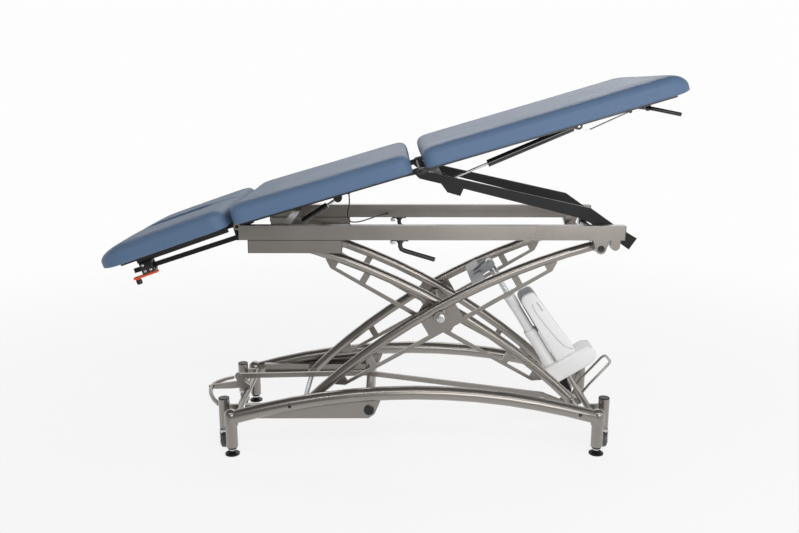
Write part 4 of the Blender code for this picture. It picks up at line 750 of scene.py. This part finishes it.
@dataclass
class Pad:
    """One upholstered section pad, sewn over foam and blown up to a full form."""

    name: str
    node: str
    body: str
    place: Place
    span: Spot2
    corners: Spot2
    hole: Spot2 | None = None
    hole_half: float = 0.045
    taper: Spot2 = (0.0, 0.0)
    half: float = 0.350
    base: float = 0.013
    height: float = 0.066
    crown: float = 0.002
    roll: float = 0.028
    slack: float = -0.003
    voxel: float = 0.008
    swell: float = 0.004
    frames: int = 20
    gap: float = 0.0004
    thin: float = 0.42
    least_corner: float = 0.006

    def outline(self, inset: float) -> list[Spot2]:
        """The plan outline, drawn in by an inset."""
        corners = tuple(max(radius - inset, self.least_corner) for radius in self.corners)
        return rounded_plan(self.span[0] + inset, self.span[1] - inset, self.half - inset, corners)

    def slot_outline(self, grow: float) -> list[Spot2]:
        """The face slot's plan outline, widened by a margin."""
        width = self.hole_half + grow
        return rounded_plan(self.hole[0] - grow, self.hole[1] + grow, width, (width, width))

    def form(self) -> Mesh:
        """The sewn cover before it is filled: rolled edges, flat base and a low crown."""
        h = self.height - 0.002
        rings = []
        sides = [(0.006, 0.0), (0.0015, 0.002), (0.0, 0.008), (0.0015, h * 0.35), (0.0008, h - self.roll)]
        for i in range(1, 7):
            angle = math.radians(15 * i)
            sides.append((self.roll * (1 - math.cos(angle)), h - self.roll + self.roll * math.sin(angle)))
        for inset, rise in ((0.045, 0.3), (0.075, 0.62), (0.105, 0.85), (0.14, 1.0)):
            sides.append((inset, h + self.crown * rise))
        for inset, t in sides:
            rings.append([(s, y, t) for s, y in self.outline(inset + self.slack)])
        if self.hole:
            rings = rings[:-3]
            top = h + self.crown
            rim = ((0.022, top), (0.009, top - 0.003), (0.002, top - 0.012), (0.0, top - 0.024), (0.0, 0.0))
            for grow, t in rim:
                rings.append([(s, y, t) for s, y in self.slot_outline(grow + self.slack)])
        bm = bmesh.new()
        loops = [[bm.verts.new(point) for point in ring] for ring in rings]
        pairs = list(zip(loops, loops[1:]))
        if self.hole:
            pairs.append((loops[-1], loops[0]))
        else:
            bm.faces.new(loops[0])
            bm.faces.new(loops[-1])
        skin(bm, pairs)
        bmesh.ops.subdivide_edges(bm, edges=bm.edges, cuts=2, use_grid_fill=True)
        for vert in bm.verts:
            vert.co.z *= 1.0 - self.thinning(vert.co.x)
        bmesh.ops.translate(bm, verts=bm.verts, vec=(0.0, 0.0, self.base + self.gap))
        return from_bmesh(bm)

    def thinning(self, s: float) -> float:
        """How much thinner the pad is at a place along it, where its free end rolls down."""
        share = 0.0
        for end, reach, way in ((self.span[0], self.taper[0], 1.0), (self.span[1], self.taper[1], -1.0)):
            run = (s - end) * way
            if reach > 0.0 and run < reach:
                share = max(share, self.thin * (1.0 - max(run, 0.0) / reach) ** 2)
        return share

    def remeshed(self, mesh: Mesh) -> Object:
        """An object with the form as an even net of small faces."""
        obj = linked(self.name, mesh)
        step = obj.modifiers.new("net", "REMESH")
        step.mode = "VOXEL"
        step.voxel_size = self.voxel
        obj.data = evaluated(obj)
        obj.modifiers.clear()
        return obj

    def blown(self, obj: Object) -> None:
        """Blow the cover up like cloth over foam, no point further than the swell."""
        before = [vert.co.copy() for vert in obj.data.vertices]
        cloth = obj.modifiers.new("fill", "CLOTH")
        settings = cloth.settings
        settings.quality = 4
        settings.mass = 0.3
        settings.tension_stiffness = 20.0
        settings.compression_stiffness = 20.0
        settings.bending_stiffness = 2.0
        settings.use_pressure = True
        settings.uniform_pressure_force = 4.0
        settings.effector_weights.gravity = 0.0
        cloth.collision_settings.use_collision = False
        scene = bpy.context.scene
        for number in range(1, self.frames + 1):
            scene.frame_set(number)
        graph = bpy.context.evaluated_depsgraph_get()
        blown = obj.evaluated_get(graph).to_mesh()
        moved = [vert.co.copy() for vert in blown.vertices]
        obj.evaluated_get(graph).to_mesh_clear()
        obj.modifiers.clear()
        scene.frame_set(1)
        floor = self.base + self.gap
        for vert, old, new in zip(obj.data.vertices, before, moved):
            step = new - old
            if step.length > self.swell:
                step *= self.swell / step.length
            vert.co = old + step
            vert.co.z = max(vert.co.z, floor)

    def build(self, shop: Workshop) -> Object:
        """Make the pad and hang it on its section.

        Args:
            shop: The workshop with the finishes.

        Returns:
            The finished pad.
        """
        obj = self.remeshed(self.form())
        self.blown(obj)
        step = obj.modifiers.new("fine", "SUBSURF")
        step.levels = 1
        step.render_levels = 1
        mesh = evaluated(obj)
        bpy.data.objects.remove(obj, do_unlink=True)
        made = shop.piece(self.name, self.body, "upholstery", self.place.put(mesh), smooth=180.0)
        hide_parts(self.node)
        return made


@dataclass
class Upholstery:
    """The three pads of the couch."""

    pads: list[Pad] = field(
        default_factory=lambda: [
            Pad("pad_middle", "mid_pad", "mid_section", MID, (0.003, 0.625), (0.040, 0.040)),
            Pad("pad_leg", "leg_pad", "leg_section", LEG, (0.019, 0.9139), (0.040, 0.070), taper=(0.0, 0.07)),
            Pad(
                "pad_head",
                "head_pad",
                "head_section",
                HEAD,
                (-0.457, 0.009),
                (0.100, 0.040),
                hole=(-0.345, -0.105),
                taper=(0.13, 0.0),
            ),
        ]
    )

    def build(self, shop: Workshop) -> None:
        """Make all pads."""
        for pad in self.pads:
            pad.build(shop)


@dataclass
class ReleaseCable:
    """The thin cable that hangs between the middle section and the far rail."""

    radius: float = 0.0025
    route: tuple[Point, ...] = (
        (-0.1500, 0.0200, 0.9080),
        (-0.1490, 0.0200, 0.8880),
        (-0.1500, 0.0210, 0.8650),
        (-0.1560, 0.0249, 0.8380),
        (-0.1540, 0.0349, 0.8120),
        (-0.1400, 0.0550, 0.7980),
        (-0.1120, 0.0951, 0.7940),
        (-0.0760, 0.1450, 0.7970),
        (-0.0450, 0.1851, 0.8020),
        (-0.0200, 0.2090, 0.8050),
        (-0.0060, 0.2165, 0.8060),
    )

    def build(self, shop: Workshop) -> Object:
        """Make the cable, bent across the middle hinge.

        Args:
            shop: The workshop with the finishes.

        Returns:
            The cable.
        """
        path = smooth_run(list(self.route), 3)
        mesh = tube_mesh(path, self.radius, 12)
        mesh.materials.append(shop.finishes["black_plastic"])
        mesh.shade_smooth()
        cable = linked("cable_release", mesh)
        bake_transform(cable)
        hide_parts("release_cable")
        return cable


@dataclass
class BaseTrim:
    """Plugs, caps, nuts, hubs and rings on the base and its castor gear."""

    tube_y: float = 0.256
    tube: float = 0.025
    plugs: Outline = ((-0.352, 0.1916), (0.681, 0.1587))
    plug: float = 0.0062
    cross: Spot2 = (-0.072, 0.169)
    cross_half: float = 0.260
    cross_cap: float = 0.0175
    feet: Spot2 = (-0.566, 0.7506)
    nut_z: float = 0.0145
    nut: float = 0.0115
    sleeves: Spot2 = (-0.603, 0.787)
    sleeve_y: float = 0.190
    sleeve_top: float = 0.187
    sleeve_cap: float = 0.0195
    ring_z: float = 0.0662
    ring: float = 0.0165
    wheel: Spot2 = (0.202, 0.032)
    wheel_half: float = 0.0108
    hub: float = 0.0150
    pedal: Point = (-0.6982, 0.0, 0.1598)
    pedal_bolt: float = 0.0065

    def build(self, shop: Workshop) -> None:
        """Make the base's small parts."""
        face = self.tube_y + self.tube - 0.0004
        spots = [((x, side * face, z), (0.0, side, 0.0), self.plug) for side in SIDES for x, z in self.plugs]
        shop.fittings("plugs_base", "base", "black_plastic", Fitting.PLUG, spots)
        spots = both(self.cross, self.cross_half, self.cross_cap)
        shop.fittings("caps_cross_tube", "base", "black_plastic", Fitting.CAP, spots)
        up = (0.0, 0.0, 1.0)
        spots = [((x, side * self.tube_y, self.nut_z), up, self.nut) for x in self.feet for side in SIDES]
        shop.fittings("nuts_feet", "base", "zinc", Fitting.NUT, spots)
        for end, x in zip(("left", "right"), self.sleeves):
            self.castors(shop, end, x)
        bolt = [(self.pedal, (-1.0, 0.0, 0.0), self.pedal_bolt)]
        shop.fittings("bolt_pedal", "carriage_left", "black_plastic", Fitting.PLUG, bolt)

    def castors(self, shop: Workshop, end: str, x: float) -> None:
        """Make the caps, wheel hubs and rings of the two castors at one end."""
        up, down = (0.0, 0.0, 1.0), (0.0, 0.0, -1.0)
        caps = [((x, side * self.sleeve_y, self.sleeve_top), up, self.sleeve_cap) for side in SIDES]
        shop.fittings(f"caps_castor_{end}", f"carriage_{end}", "black_plastic", Fitting.CAP, caps)
        for row, side in ROWS:
            name, y, z = f"{row}_{end}", side * self.wheel[0], self.wheel[1]
            hubs = [((x + way * self.wheel_half, y, z), (way, 0.0, 0.0), self.hub) for way in SIDES]
            shop.fittings(f"hubs_{name}", f"wheel_{name}", "cap_grey", Fitting.HUB, hubs, "wheel_rubber")
            ring = [((x, side * self.sleeve_y, self.ring_z), down, self.ring)]
            shop.fittings(f"ring_{name}", f"fork_{name}", "zinc", Fitting.CAP, ring)


@dataclass
class LiftTrim:
    """Bolts, caps, clamps and channel ends on the scissor lift and the top frame."""

    centre: Spot2 = (0.183097, 0.495374)
    high: Spot2 = (0.724631, 0.758329)
    rail_outer: float = 0.2644
    rail_low: float = 0.787929
    rail_top: float = 0.837929
    rail_right: float = 0.804131
    rail_w: float = 0.030
    lever_x: float = 0.038131
    lever_y: float = 0.250
    guide: Spot2 = (-0.478869, -0.161869)
    guide_y: float = 0.2624
    guide_low: float = 0.742329
    guide_wall: float = 0.003
    gap: float = 0.0002
    cap_t: float = 0.003
    cap_inset: float = 0.001
    plate_t: float = 0.002
    # Bottom and top of the painted shade strip, measured from the rail's lower edge.
    shade_strip: Spot2 = (-0.0014, 0.0006)
    centre_bolt: Spot2 = (0.2133, 0.0145)
    high_cap: float = 0.0115
    flange_half: Spot2 = (0.028, 0.014)
    flange_t: float = 0.0042
    clamp: Spot2 = (0.004, 0.022)
    clamp_low: float = 0.7705
    clamp_y: Spot2 = (0.236, 0.247)

    def build(self, shop: Workshop) -> None:
        """Make the lift's and rails' small parts."""
        spots = both(self.centre, *self.centre_bolt)
        shop.fittings("bolts_centre", "inner_arms", "zinc", Fitting.BOLT, spots)
        spots = both(self.high, self.rail_outer, self.high_cap)
        shop.fittings("caps_high_pivot", "top_frame", "black_plastic", Fitting.CAP, spots)
        for row, side in ROWS:
            self.rail(shop, row, side)
            self.guide_ends(shop, row, side)

    def rail(self, shop: Workshop, row: str, side: float) -> None:
        """Make a rail's end cap, lever flange and cable clamp."""
        low, inset = self.rail_low, self.cap_inset
        start = self.rail_right + self.gap
        y_in, y_out = depths(side, self.rail_outer - self.rail_w, self.rail_outer)
        outline = rectangle(start, start + self.cap_t, low + inset, self.rail_top - inset)
        cap = slab_mesh(outline, y_in + inset, y_out - inset, 0.0012, 2)
        shop.piece(f"cap_rail_{row}", "top_frame", "black_plastic", cap)
        reach, half = self.flange_half
        y = side * self.lever_y
        outline = rectangle(self.lever_x - reach, self.lever_x + reach, low - self.flange_t, low - 0.0003)
        flange = slab_mesh(outline, y - half, y + half, 0.0015, 2)
        shop.piece(f"flange_lever_{row}", "top_frame", "black_plastic", flange)
        outline = rectangle(*self.clamp, self.clamp_low, low - self.flange_t + 0.0001)
        clamp = slab_mesh(outline, *depths(side, *self.clamp_y), 0.002, 3)
        shop.piece(f"clamp_cable_{row}", "top_frame", "zinc", clamp)

    def guide_ends(self, shop: Workshop, row: str, side: float) -> None:
        """Make the dark ends of a guide channel, and a black strip along its top edge that paints the shade
        in the gap between guide and rail.
        """
        outer = self.guide_y
        for end, x, way in (("left", self.guide[0], -1.0), ("right", self.guide[1], 1.0)):
            x_low, x_high = sorted((x + way * self.gap, x + way * (self.gap + self.plate_t)))
            outline = rectangle(x_low, x_high, self.guide_low, self.rail_low - 0.0006)
            plate = slab_mesh(outline, *depths(side, outer - self.guide_wall, outer), 0.0006, 2)
            shop.piece(f"end_guide_{row}_{end}", "top_frame", "black_plastic", plate)
        # A thin black strip at the join of guide and rail: painted shade of the gap between them.
        outline = rectangle(*self.guide, self.rail_low + self.shade_strip[0], self.rail_low + self.shade_strip[1])
        shade_strip = slab_mesh(outline, *depths(side, outer - 0.001, self.rail_outer + 0.0003), 0.0003, 1)
        shop.piece(f"seam_guide_{row}", "top_frame", "black_plastic", shade_strip)


@dataclass(frozen=True)
class Shell:
    """A rounded shell of the actuator, drawn in side view in the actuator's own frame."""

    outline: Outline
    half: float
    round_off: float
    segments: int = 4

    def mesh(self) -> Mesh:
        """The shell's mesh, in place."""
        made = slab_mesh(list(self.outline), -self.half, self.half, self.round_off, self.segments)
        return ACTUATOR.put(made)


@dataclass
class ActuatorShell:
    """The moulded shells of the actuator, its control box and its piston."""

    motor: Shell = Shell(
        ((0.044, 0.030), (0.120, 0.030), (0.120, -0.150), (0.105, -0.172), (0.060, -0.172), (0.044, -0.134)),
        half=0.045,
        round_off=0.011,
    )
    tail: Shell = Shell(
        ((0.052, 0.022), (0.052, -0.036), (0.028, -0.022), (-0.014, -0.018), (-0.014, 0.016), (0.028, 0.020)),
        half=0.039,
        round_off=0.004,
        segments=3,
    )
    rim: Shell = Shell(
        ((0.098, 0.0314), (0.107, 0.0314), (0.107, -0.1674), (0.098, -0.1734)),
        half=0.0464,
        round_off=0.0042,
    )
    box: Shell = Shell(
        (
            (0.1203, -0.025), (0.385, -0.025), (0.408, -0.029), (0.418, -0.041),
            (0.416, -0.078), (0.406, -0.088), (0.1503, -0.110), (0.1203, -0.110),
        ),
        half=0.048,
        round_off=0.010,
    )
    box_cap: Shell = Shell(
        (
            (0.388, -0.0242), (0.409, -0.0282), (0.4188, -0.0405),
            (0.4168, -0.0785), (0.4065, -0.0888), (0.384, -0.0908),
        ),
        half=0.044,
        round_off=0.006,
    )
    joint: Shell = Shell(
        ((0.268, -0.0248), (0.384, -0.0248), (0.384, -0.0290), (0.268, -0.0290)),
        half=0.045,
        round_off=0.001,
        segments=2,
    )
    groove: Outline = (
        (0.372, -0.058), (0.340, -0.054), (0.270, -0.061),
        (0.200, -0.072), (0.160, -0.084), (0.138, -0.104),
    )
    groove_r: float = 0.0011
    vent: Spot2 = (0.366, -0.0765)
    vent_step: Spot2 = (-0.0085, -0.0006)
    vent_count: int = 5
    vent_r: float = 0.0024
    cover: float = 0.024
    cover_from: float = 0.110
    cover_to: float = 0.277
    piston: float = 0.019
    piston_from: float = 0.212
    piston_to: float = 0.436
    bore: float = 0.0216
    bore_from: float = 0.055
    rod: float = 0.011
    ferrule: float = 0.0145
    eye: float = 0.016
    eye_half: float = 0.015
    eye_edge: float = 0.0012
    span: float = 0.5819

    def lathe_along(self, profile: list[Spot2], steps: int = 32) -> Mesh:
        """A shape turned about the actuator's own axis; the profile gives radius and distance along it."""
        mesh = from_bmesh(turned(profile, steps))
        mesh.transform(Matrix.Rotation(math.pi / 2, 4, "Y"))
        return ACTUATOR.put(mesh)

    def bored(self, mesh: Mesh) -> Mesh:
        """Cut the bore that the piston runs in.

        Args:
            mesh: A closed shell on the actuator's axis.

        Returns:
            A new mesh with the bore.
        """
        r, start, end = self.bore, self.bore_from, self.cover_to
        drill = self.lathe_along([(0.0, start), (r, start), (r, end), (0.0, end)])
        pair = [linked("boring", data) for data in (mesh, drill)]
        cut = pair[0].modifiers.new("bore", "BOOLEAN")
        cut.operation = "DIFFERENCE"
        cut.solver = "EXACT"
        cut.object = pair[1]
        made = evaluated(pair[0])
        for obj in pair:
            bpy.data.objects.remove(obj)
        return made

    def build(self, shop: Workshop) -> None:
        """Make the shells and their details."""
        body = self.bored(self.motor.mesh())
        made = shop.piece("shell_motor", "actuator", "actuator_grey", body)
        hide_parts("actuator_housing")
        shop.piece("tail_motor", "actuator", "dark_coat", self.tail.mesh(), "actuator_grey")
        shop.piece("rim_motor", "actuator", "actuator_grey", self.bored(self.rim.mesh()))
        self.tubes(shop)
        self.control_box(shop)

    def tubes(self, shop: Workshop) -> None:
        """Make the cover tube, the piston's sleeve, its rod and its eye."""
        start, end = self.cover_from, self.cover_to
        full, slim = self.cover + 0.0007, self.cover - 0.001
        sleeve = [
            (self.bore, start),
            (full, start),
            (full, start + 0.040),
            (slim, start + 0.043),
            (slim, end - 0.030),
            (full, end - 0.027),
            (full, end - 0.002),
            (slim, end),
            (self.bore, end),
            (self.bore, start),
        ]
        shop.piece("sleeve_cover", "actuator", "actuator_grey", self.lathe_along(sleeve))
        p, end = self.piston, self.piston_to
        inner = [
            (0.0, self.piston_from),
            (p, self.piston_from),
            (p, end - 0.062),
            (p + 0.0013, end - 0.054),
            (p + 0.0022, end - 0.036),
            (p + 0.0022, end - 0.0068),
            (p + 0.0045, end - 0.0064),
            (p + 0.0045, end - 0.002),
            (p + 0.002, end),
            (0.0125, end + 0.001),
            (0.0, end + 0.001),
        ]
        made = shop.piece("sleeve_piston", "actuator_piston", "actuator_grey", self.lathe_along(inner))
        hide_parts("actuator_piston")
        rod = [
            (0.0, end - 0.01),
            (self.rod, end - 0.01),
            (self.rod, self.span - 0.055),
            (self.ferrule, self.span - 0.053),
            (self.ferrule, self.span - 0.020),
            (0.010, self.span - 0.012),
            (0.0, self.span - 0.010),
        ]
        shop.piece("rod_piston", "actuator_piston", "zinc", self.lathe_along(rod))
        r, half, edge = self.eye, self.eye_half, self.eye_edge
        lower = [(0.0, -half), (r - edge, -half), (r, edge - half)]
        upper = [(r, half - edge), (r - edge, half), (0.0, half)]
        ring = from_bmesh(turned(lower + upper, 28))
        ring.transform(Matrix.Translation((self.span, 0.0, 0.0)) @ Matrix.Rotation(math.pi / 2, 4, "X"))
        shop.piece("eye_piston", "actuator_piston", "zinc", ACTUATOR.put(ring))

    def control_box(self, shop: Workshop) -> None:
        """Make the control box: case, end cap, dark joint line, groove lines and vents."""
        made = shop.piece("case_control", "actuator", "actuator_grey", self.box.mesh())
        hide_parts("control_box")
        shop.piece("cap_control", "actuator", "cap_grey", self.box_cap.mesh(), "actuator_grey")
        shop.piece("joint_control", "actuator", "black_plastic", self.joint.mesh())
        spots = []
        (s_from, t_from), (s_step, t_step) = self.vent, self.vent_step
        for row, side in ROWS:
            y = side * self.box.half
            run = [ACTUATOR.at(s, y, t) for s, t in self.groove]
            curve = tube_mesh(smooth_run(run, 5), self.groove_r, 8)
            shop.piece(f"groove_control_{row}", "actuator", "cap_grey", curve, "actuator_grey")
            for i in range(self.vent_count):
                at = ACTUATOR.at(s_from + s_step * i, y, t_from + t_step * i)
                spots.append((at, (0.0, side, 0.0), self.vent_r))
        shop.fittings("vents_control", "actuator", "black_plastic", Fitting.VENT, spots)


@dataclass
class SectionTrim:
    """Clamp bolts, knob and spring fittings under the head and leg sections."""

    clamp_y: float = -0.222
    clamp_bolts: Outline = ((-0.346, -0.024), (-0.345, -0.046), (-0.324, -0.046))
    lever: Place = Place(-0.827661, 0.660689, 19.3)
    lever_y: float = -0.200
    clamp_bolt: float = 0.0046
    knob: float = -0.058
    knob_form: Outline = (
        (0.0, -0.0245),
        (0.0075, -0.0245),
        (0.0102, -0.0215),
        (0.0102, -0.0085),
        (0.0095, -0.0075),
        (0.0, -0.0075),
    )
    cheek_y: float = 0.0518
    cheek_bolts: Outline = ((0.610, -0.034), (0.627, -0.021))
    cheek_bolt: float = 0.0052
    link: Spot2 = (0.641, -0.060)
    link_y: float = 0.0632
    link_nut: float = 0.0062

    def build(self, shop: Workshop) -> None:
        """Make the sections' small parts."""
        near = (0.0, -1.0, 0.0)
        spots = [(HEAD.at(s, self.clamp_y, t), near, self.clamp_bolt) for s, t in self.clamp_bolts]
        shop.fittings("bolts_clamp", "head_section", "zinc", Fitting.BOLT, spots)
        knob = from_bmesh(turned(list(self.knob_form), 24))
        knob.transform(Matrix.Translation((self.knob, self.lever_y, 0.0)))
        shop.piece("knob_clamp", "clamp_lever", "black_plastic", self.lever.put(knob))
        spots = [(LEG.at(s, self.cheek_y, t), near, self.cheek_bolt) for s, t in self.cheek_bolts]
        shop.fittings("bolts_leg_spring", "leg_section", "zinc", Fitting.BOLT, spots)
        spots = [(LEG.at(self.link[0], self.link_y, self.link[1]), near, self.link_nut)]
        shop.fittings("nut_link", "release_link", "zinc", Fitting.NUT, spots)


@dataclass
class Studio:
    """Camera, lamps, floor and pale surroundings."""

    eye: Point = (0.0151, -2.9395, 1.2921)
    tilt: float = 0.2190
    yaw: float = 0.0078
    roll: float = 0.0024
    focal: float = 800.09
    width: float = 799.0
    sensor: float = 36.0
    floor_half: float = 9.0

    def camera(self) -> None:
        """Set the camera at the photograph's viewing angle."""
        flat = math.cos(self.tilt)
        ahead = Vector((math.sin(self.yaw) * flat, math.cos(self.yaw) * flat, -math.sin(self.tilt)))
        right = Vector((math.cos(self.yaw), -math.sin(self.yaw), 0.0))
        up = right.cross(ahead)
        c, s = math.cos(self.roll), math.sin(self.roll)
        x_axis, y_axis = right * c + up * s, up * c - right * s
        data = bpy.data.cameras.new("camera")
        data.sensor_fit = "HORIZONTAL"
        data.sensor_width = self.sensor
        data.lens = self.sensor * self.focal / self.width
        obj = linked("camera", data)
        turn = Matrix((x_axis, y_axis, -ahead)).transposed().to_4x4()
        obj.matrix_world = Matrix.Translation(self.eye) @ turn
        bpy.context.scene.camera = obj

    @staticmethod
    def lamp(name: str, at: Point, aim: Point, size: Spot2, power: float) -> None:
        """Add one soft lamp, its size across and up."""
        data = bpy.data.lights.new(name, "AREA")
        data.shape = "RECTANGLE"
        data.size, data.size_y = size
        data.energy = power
        turn = (Vector(aim) - Vector(at)).to_track_quat("-Z", "Y")
        linked(name, data).matrix_world = Matrix.Translation(at) @ turn.to_matrix().to_4x4()

    def floor(self) -> None:
        """Lay a pale floor that keeps the couch's shadow and fades into the surroundings."""
        bm = bmesh.new()
        bmesh.ops.create_grid(bm, x_segments=1, y_segments=1, size=self.floor_half)
        mesh = bpy.data.meshes.new("floor")
        bm.to_mesh(mesh)
        bm.free()
        obj = linked("floor", mesh)
        finish = bpy.data.materials.new("pale_floor")
        finish.use_nodes = True
        graph = Graph(finish.node_tree)
        shader = finish.node_tree.nodes["Principled BSDF"]
        place = graph.add("ShaderNodeTexCoord").outputs["Object"]
        mottle = graph.noise(place, 0.8, 2.0).outputs["Fac"]
        tone = graph.mix(mottle, (0.86, 0.86, 0.865, 1.0), (0.90, 0.90, 0.905, 1.0))
        graph.feed(shader, {"Base Color": tone, "Roughness": 0.7, "Specular IOR Level": 0.2})
        far = graph.add("ShaderNodeVectorMath", {0: place}, operation="LENGTH").outputs["Value"]
        fade = graph.remap(far, (0.9, 4.2), (0.84, 1.0), smooth=True)
        clear = graph.add("ShaderNodeBsdfTransparent")
        mixed = graph.shared(fade, shader, clear)
        graph.feed(finish.node_tree.nodes["Material Output"], {"Surface": mixed.outputs[0]})
        mesh.materials.append(finish)

    @staticmethod
    def surroundings() -> None:
        """Give soft light, dimmer from above and from the viewer's side, with a near-white background."""
        world = bpy.data.worlds.new("studio")
        bpy.context.scene.world = world
        world.use_nodes = True
        graph = Graph(world.node_tree)
        ray = graph.add("ShaderNodeTexCoord").outputs["Generated"]
        lean = graph.add("ShaderNodeVectorMath", {0: ray, 1: (0.0, -0.55, 1.0)}, operation="DOT_PRODUCT")
        dim = graph.remap(lean.outputs["Value"], (0.05, 0.5), (0.0, 1.0), smooth=True)
        level = graph.remap(dim, (0.0, 1.0), (0.62, 0.36))
        gleam = graph.remap(dim, (0.0, 1.0), (1.0, 0.16))
        soft = world.node_tree.nodes["Background"]
        graph.feed(soft, {"Color": (0.97, 0.985, 1.0, 1.0), "Strength": level})
        path = graph.add("ShaderNodeLightPath")
        seen = graph.add(
            "ShaderNodeMath",
            {0: path.outputs["Is Camera Ray"], 1: path.outputs["Is Transmission Ray"]},
            operation="MAXIMUM",
        )
        pale = (0.985, 0.985, 0.985, 1.0)
        sheen = graph.add("ShaderNodeBackground", {"Color": pale, "Strength": gleam})
        white = graph.add("ShaderNodeBackground", {"Color": pale, "Strength": 1.0})
        glossy = graph.shared(path.outputs["Is Glossy Ray"], soft, sheen)
        mixed = graph.shared(seen.outputs[0], glossy, white)
        graph.feed(world.node_tree.nodes["World Output"], {"Surface": mixed.outputs[0]})

    def build(self) -> None:
        """Set up the whole studio."""
        bpy.context.scene.view_settings.view_transform = "Standard"
        self.camera()
        self.floor()
        self.surroundings()
        self.lamp("lamp_key", (1.1, -3.3, 1.2), (0.1, 0.0, 0.7), (2.0, 1.2), 36.0)
        self.lamp("lamp_strip", (0.2, -2.2, 2.3), (0.1, 0.0, 0.5), (3.6, 0.14), 21.0)
        self.lamp("lamp_back", (0.3, 2.4, 2.4), (0.0, 0.0, 0.6), (3.2, 0.6), 20.0)
        self.lamp("lamp_side", (2.9, -1.8, 1.2), (0.2, 0.0, 0.7), (0.9, 1.4), 12.0)


def main() -> None:
    """Build the couch's classes in order and report each piece."""
    logging.basicConfig(level=logging.INFO, format="%(name)s: %(message)s")
    shop = Workshop()
    Studio().build()
    ReleaseCable().build(shop)
    shop.dress_nodes(
        {
            "lift_cross_bracket": "satin_grey",
            "leg_hinge_shaft": "dark_coat",
            "mid_hinge_shaft": "dark_coat",
            "leg_spring_cylinder": "black_gloss",
            "mid_spring_cylinder": "black_gloss",
        }
    )
    Upholstery().build(shop)
    BaseTrim().build(shop)
    LiftTrim().build(shop)
    ActuatorShell().build(shop)
    SectionTrim().build(shop)


if __name__ == "__main__":
    main()
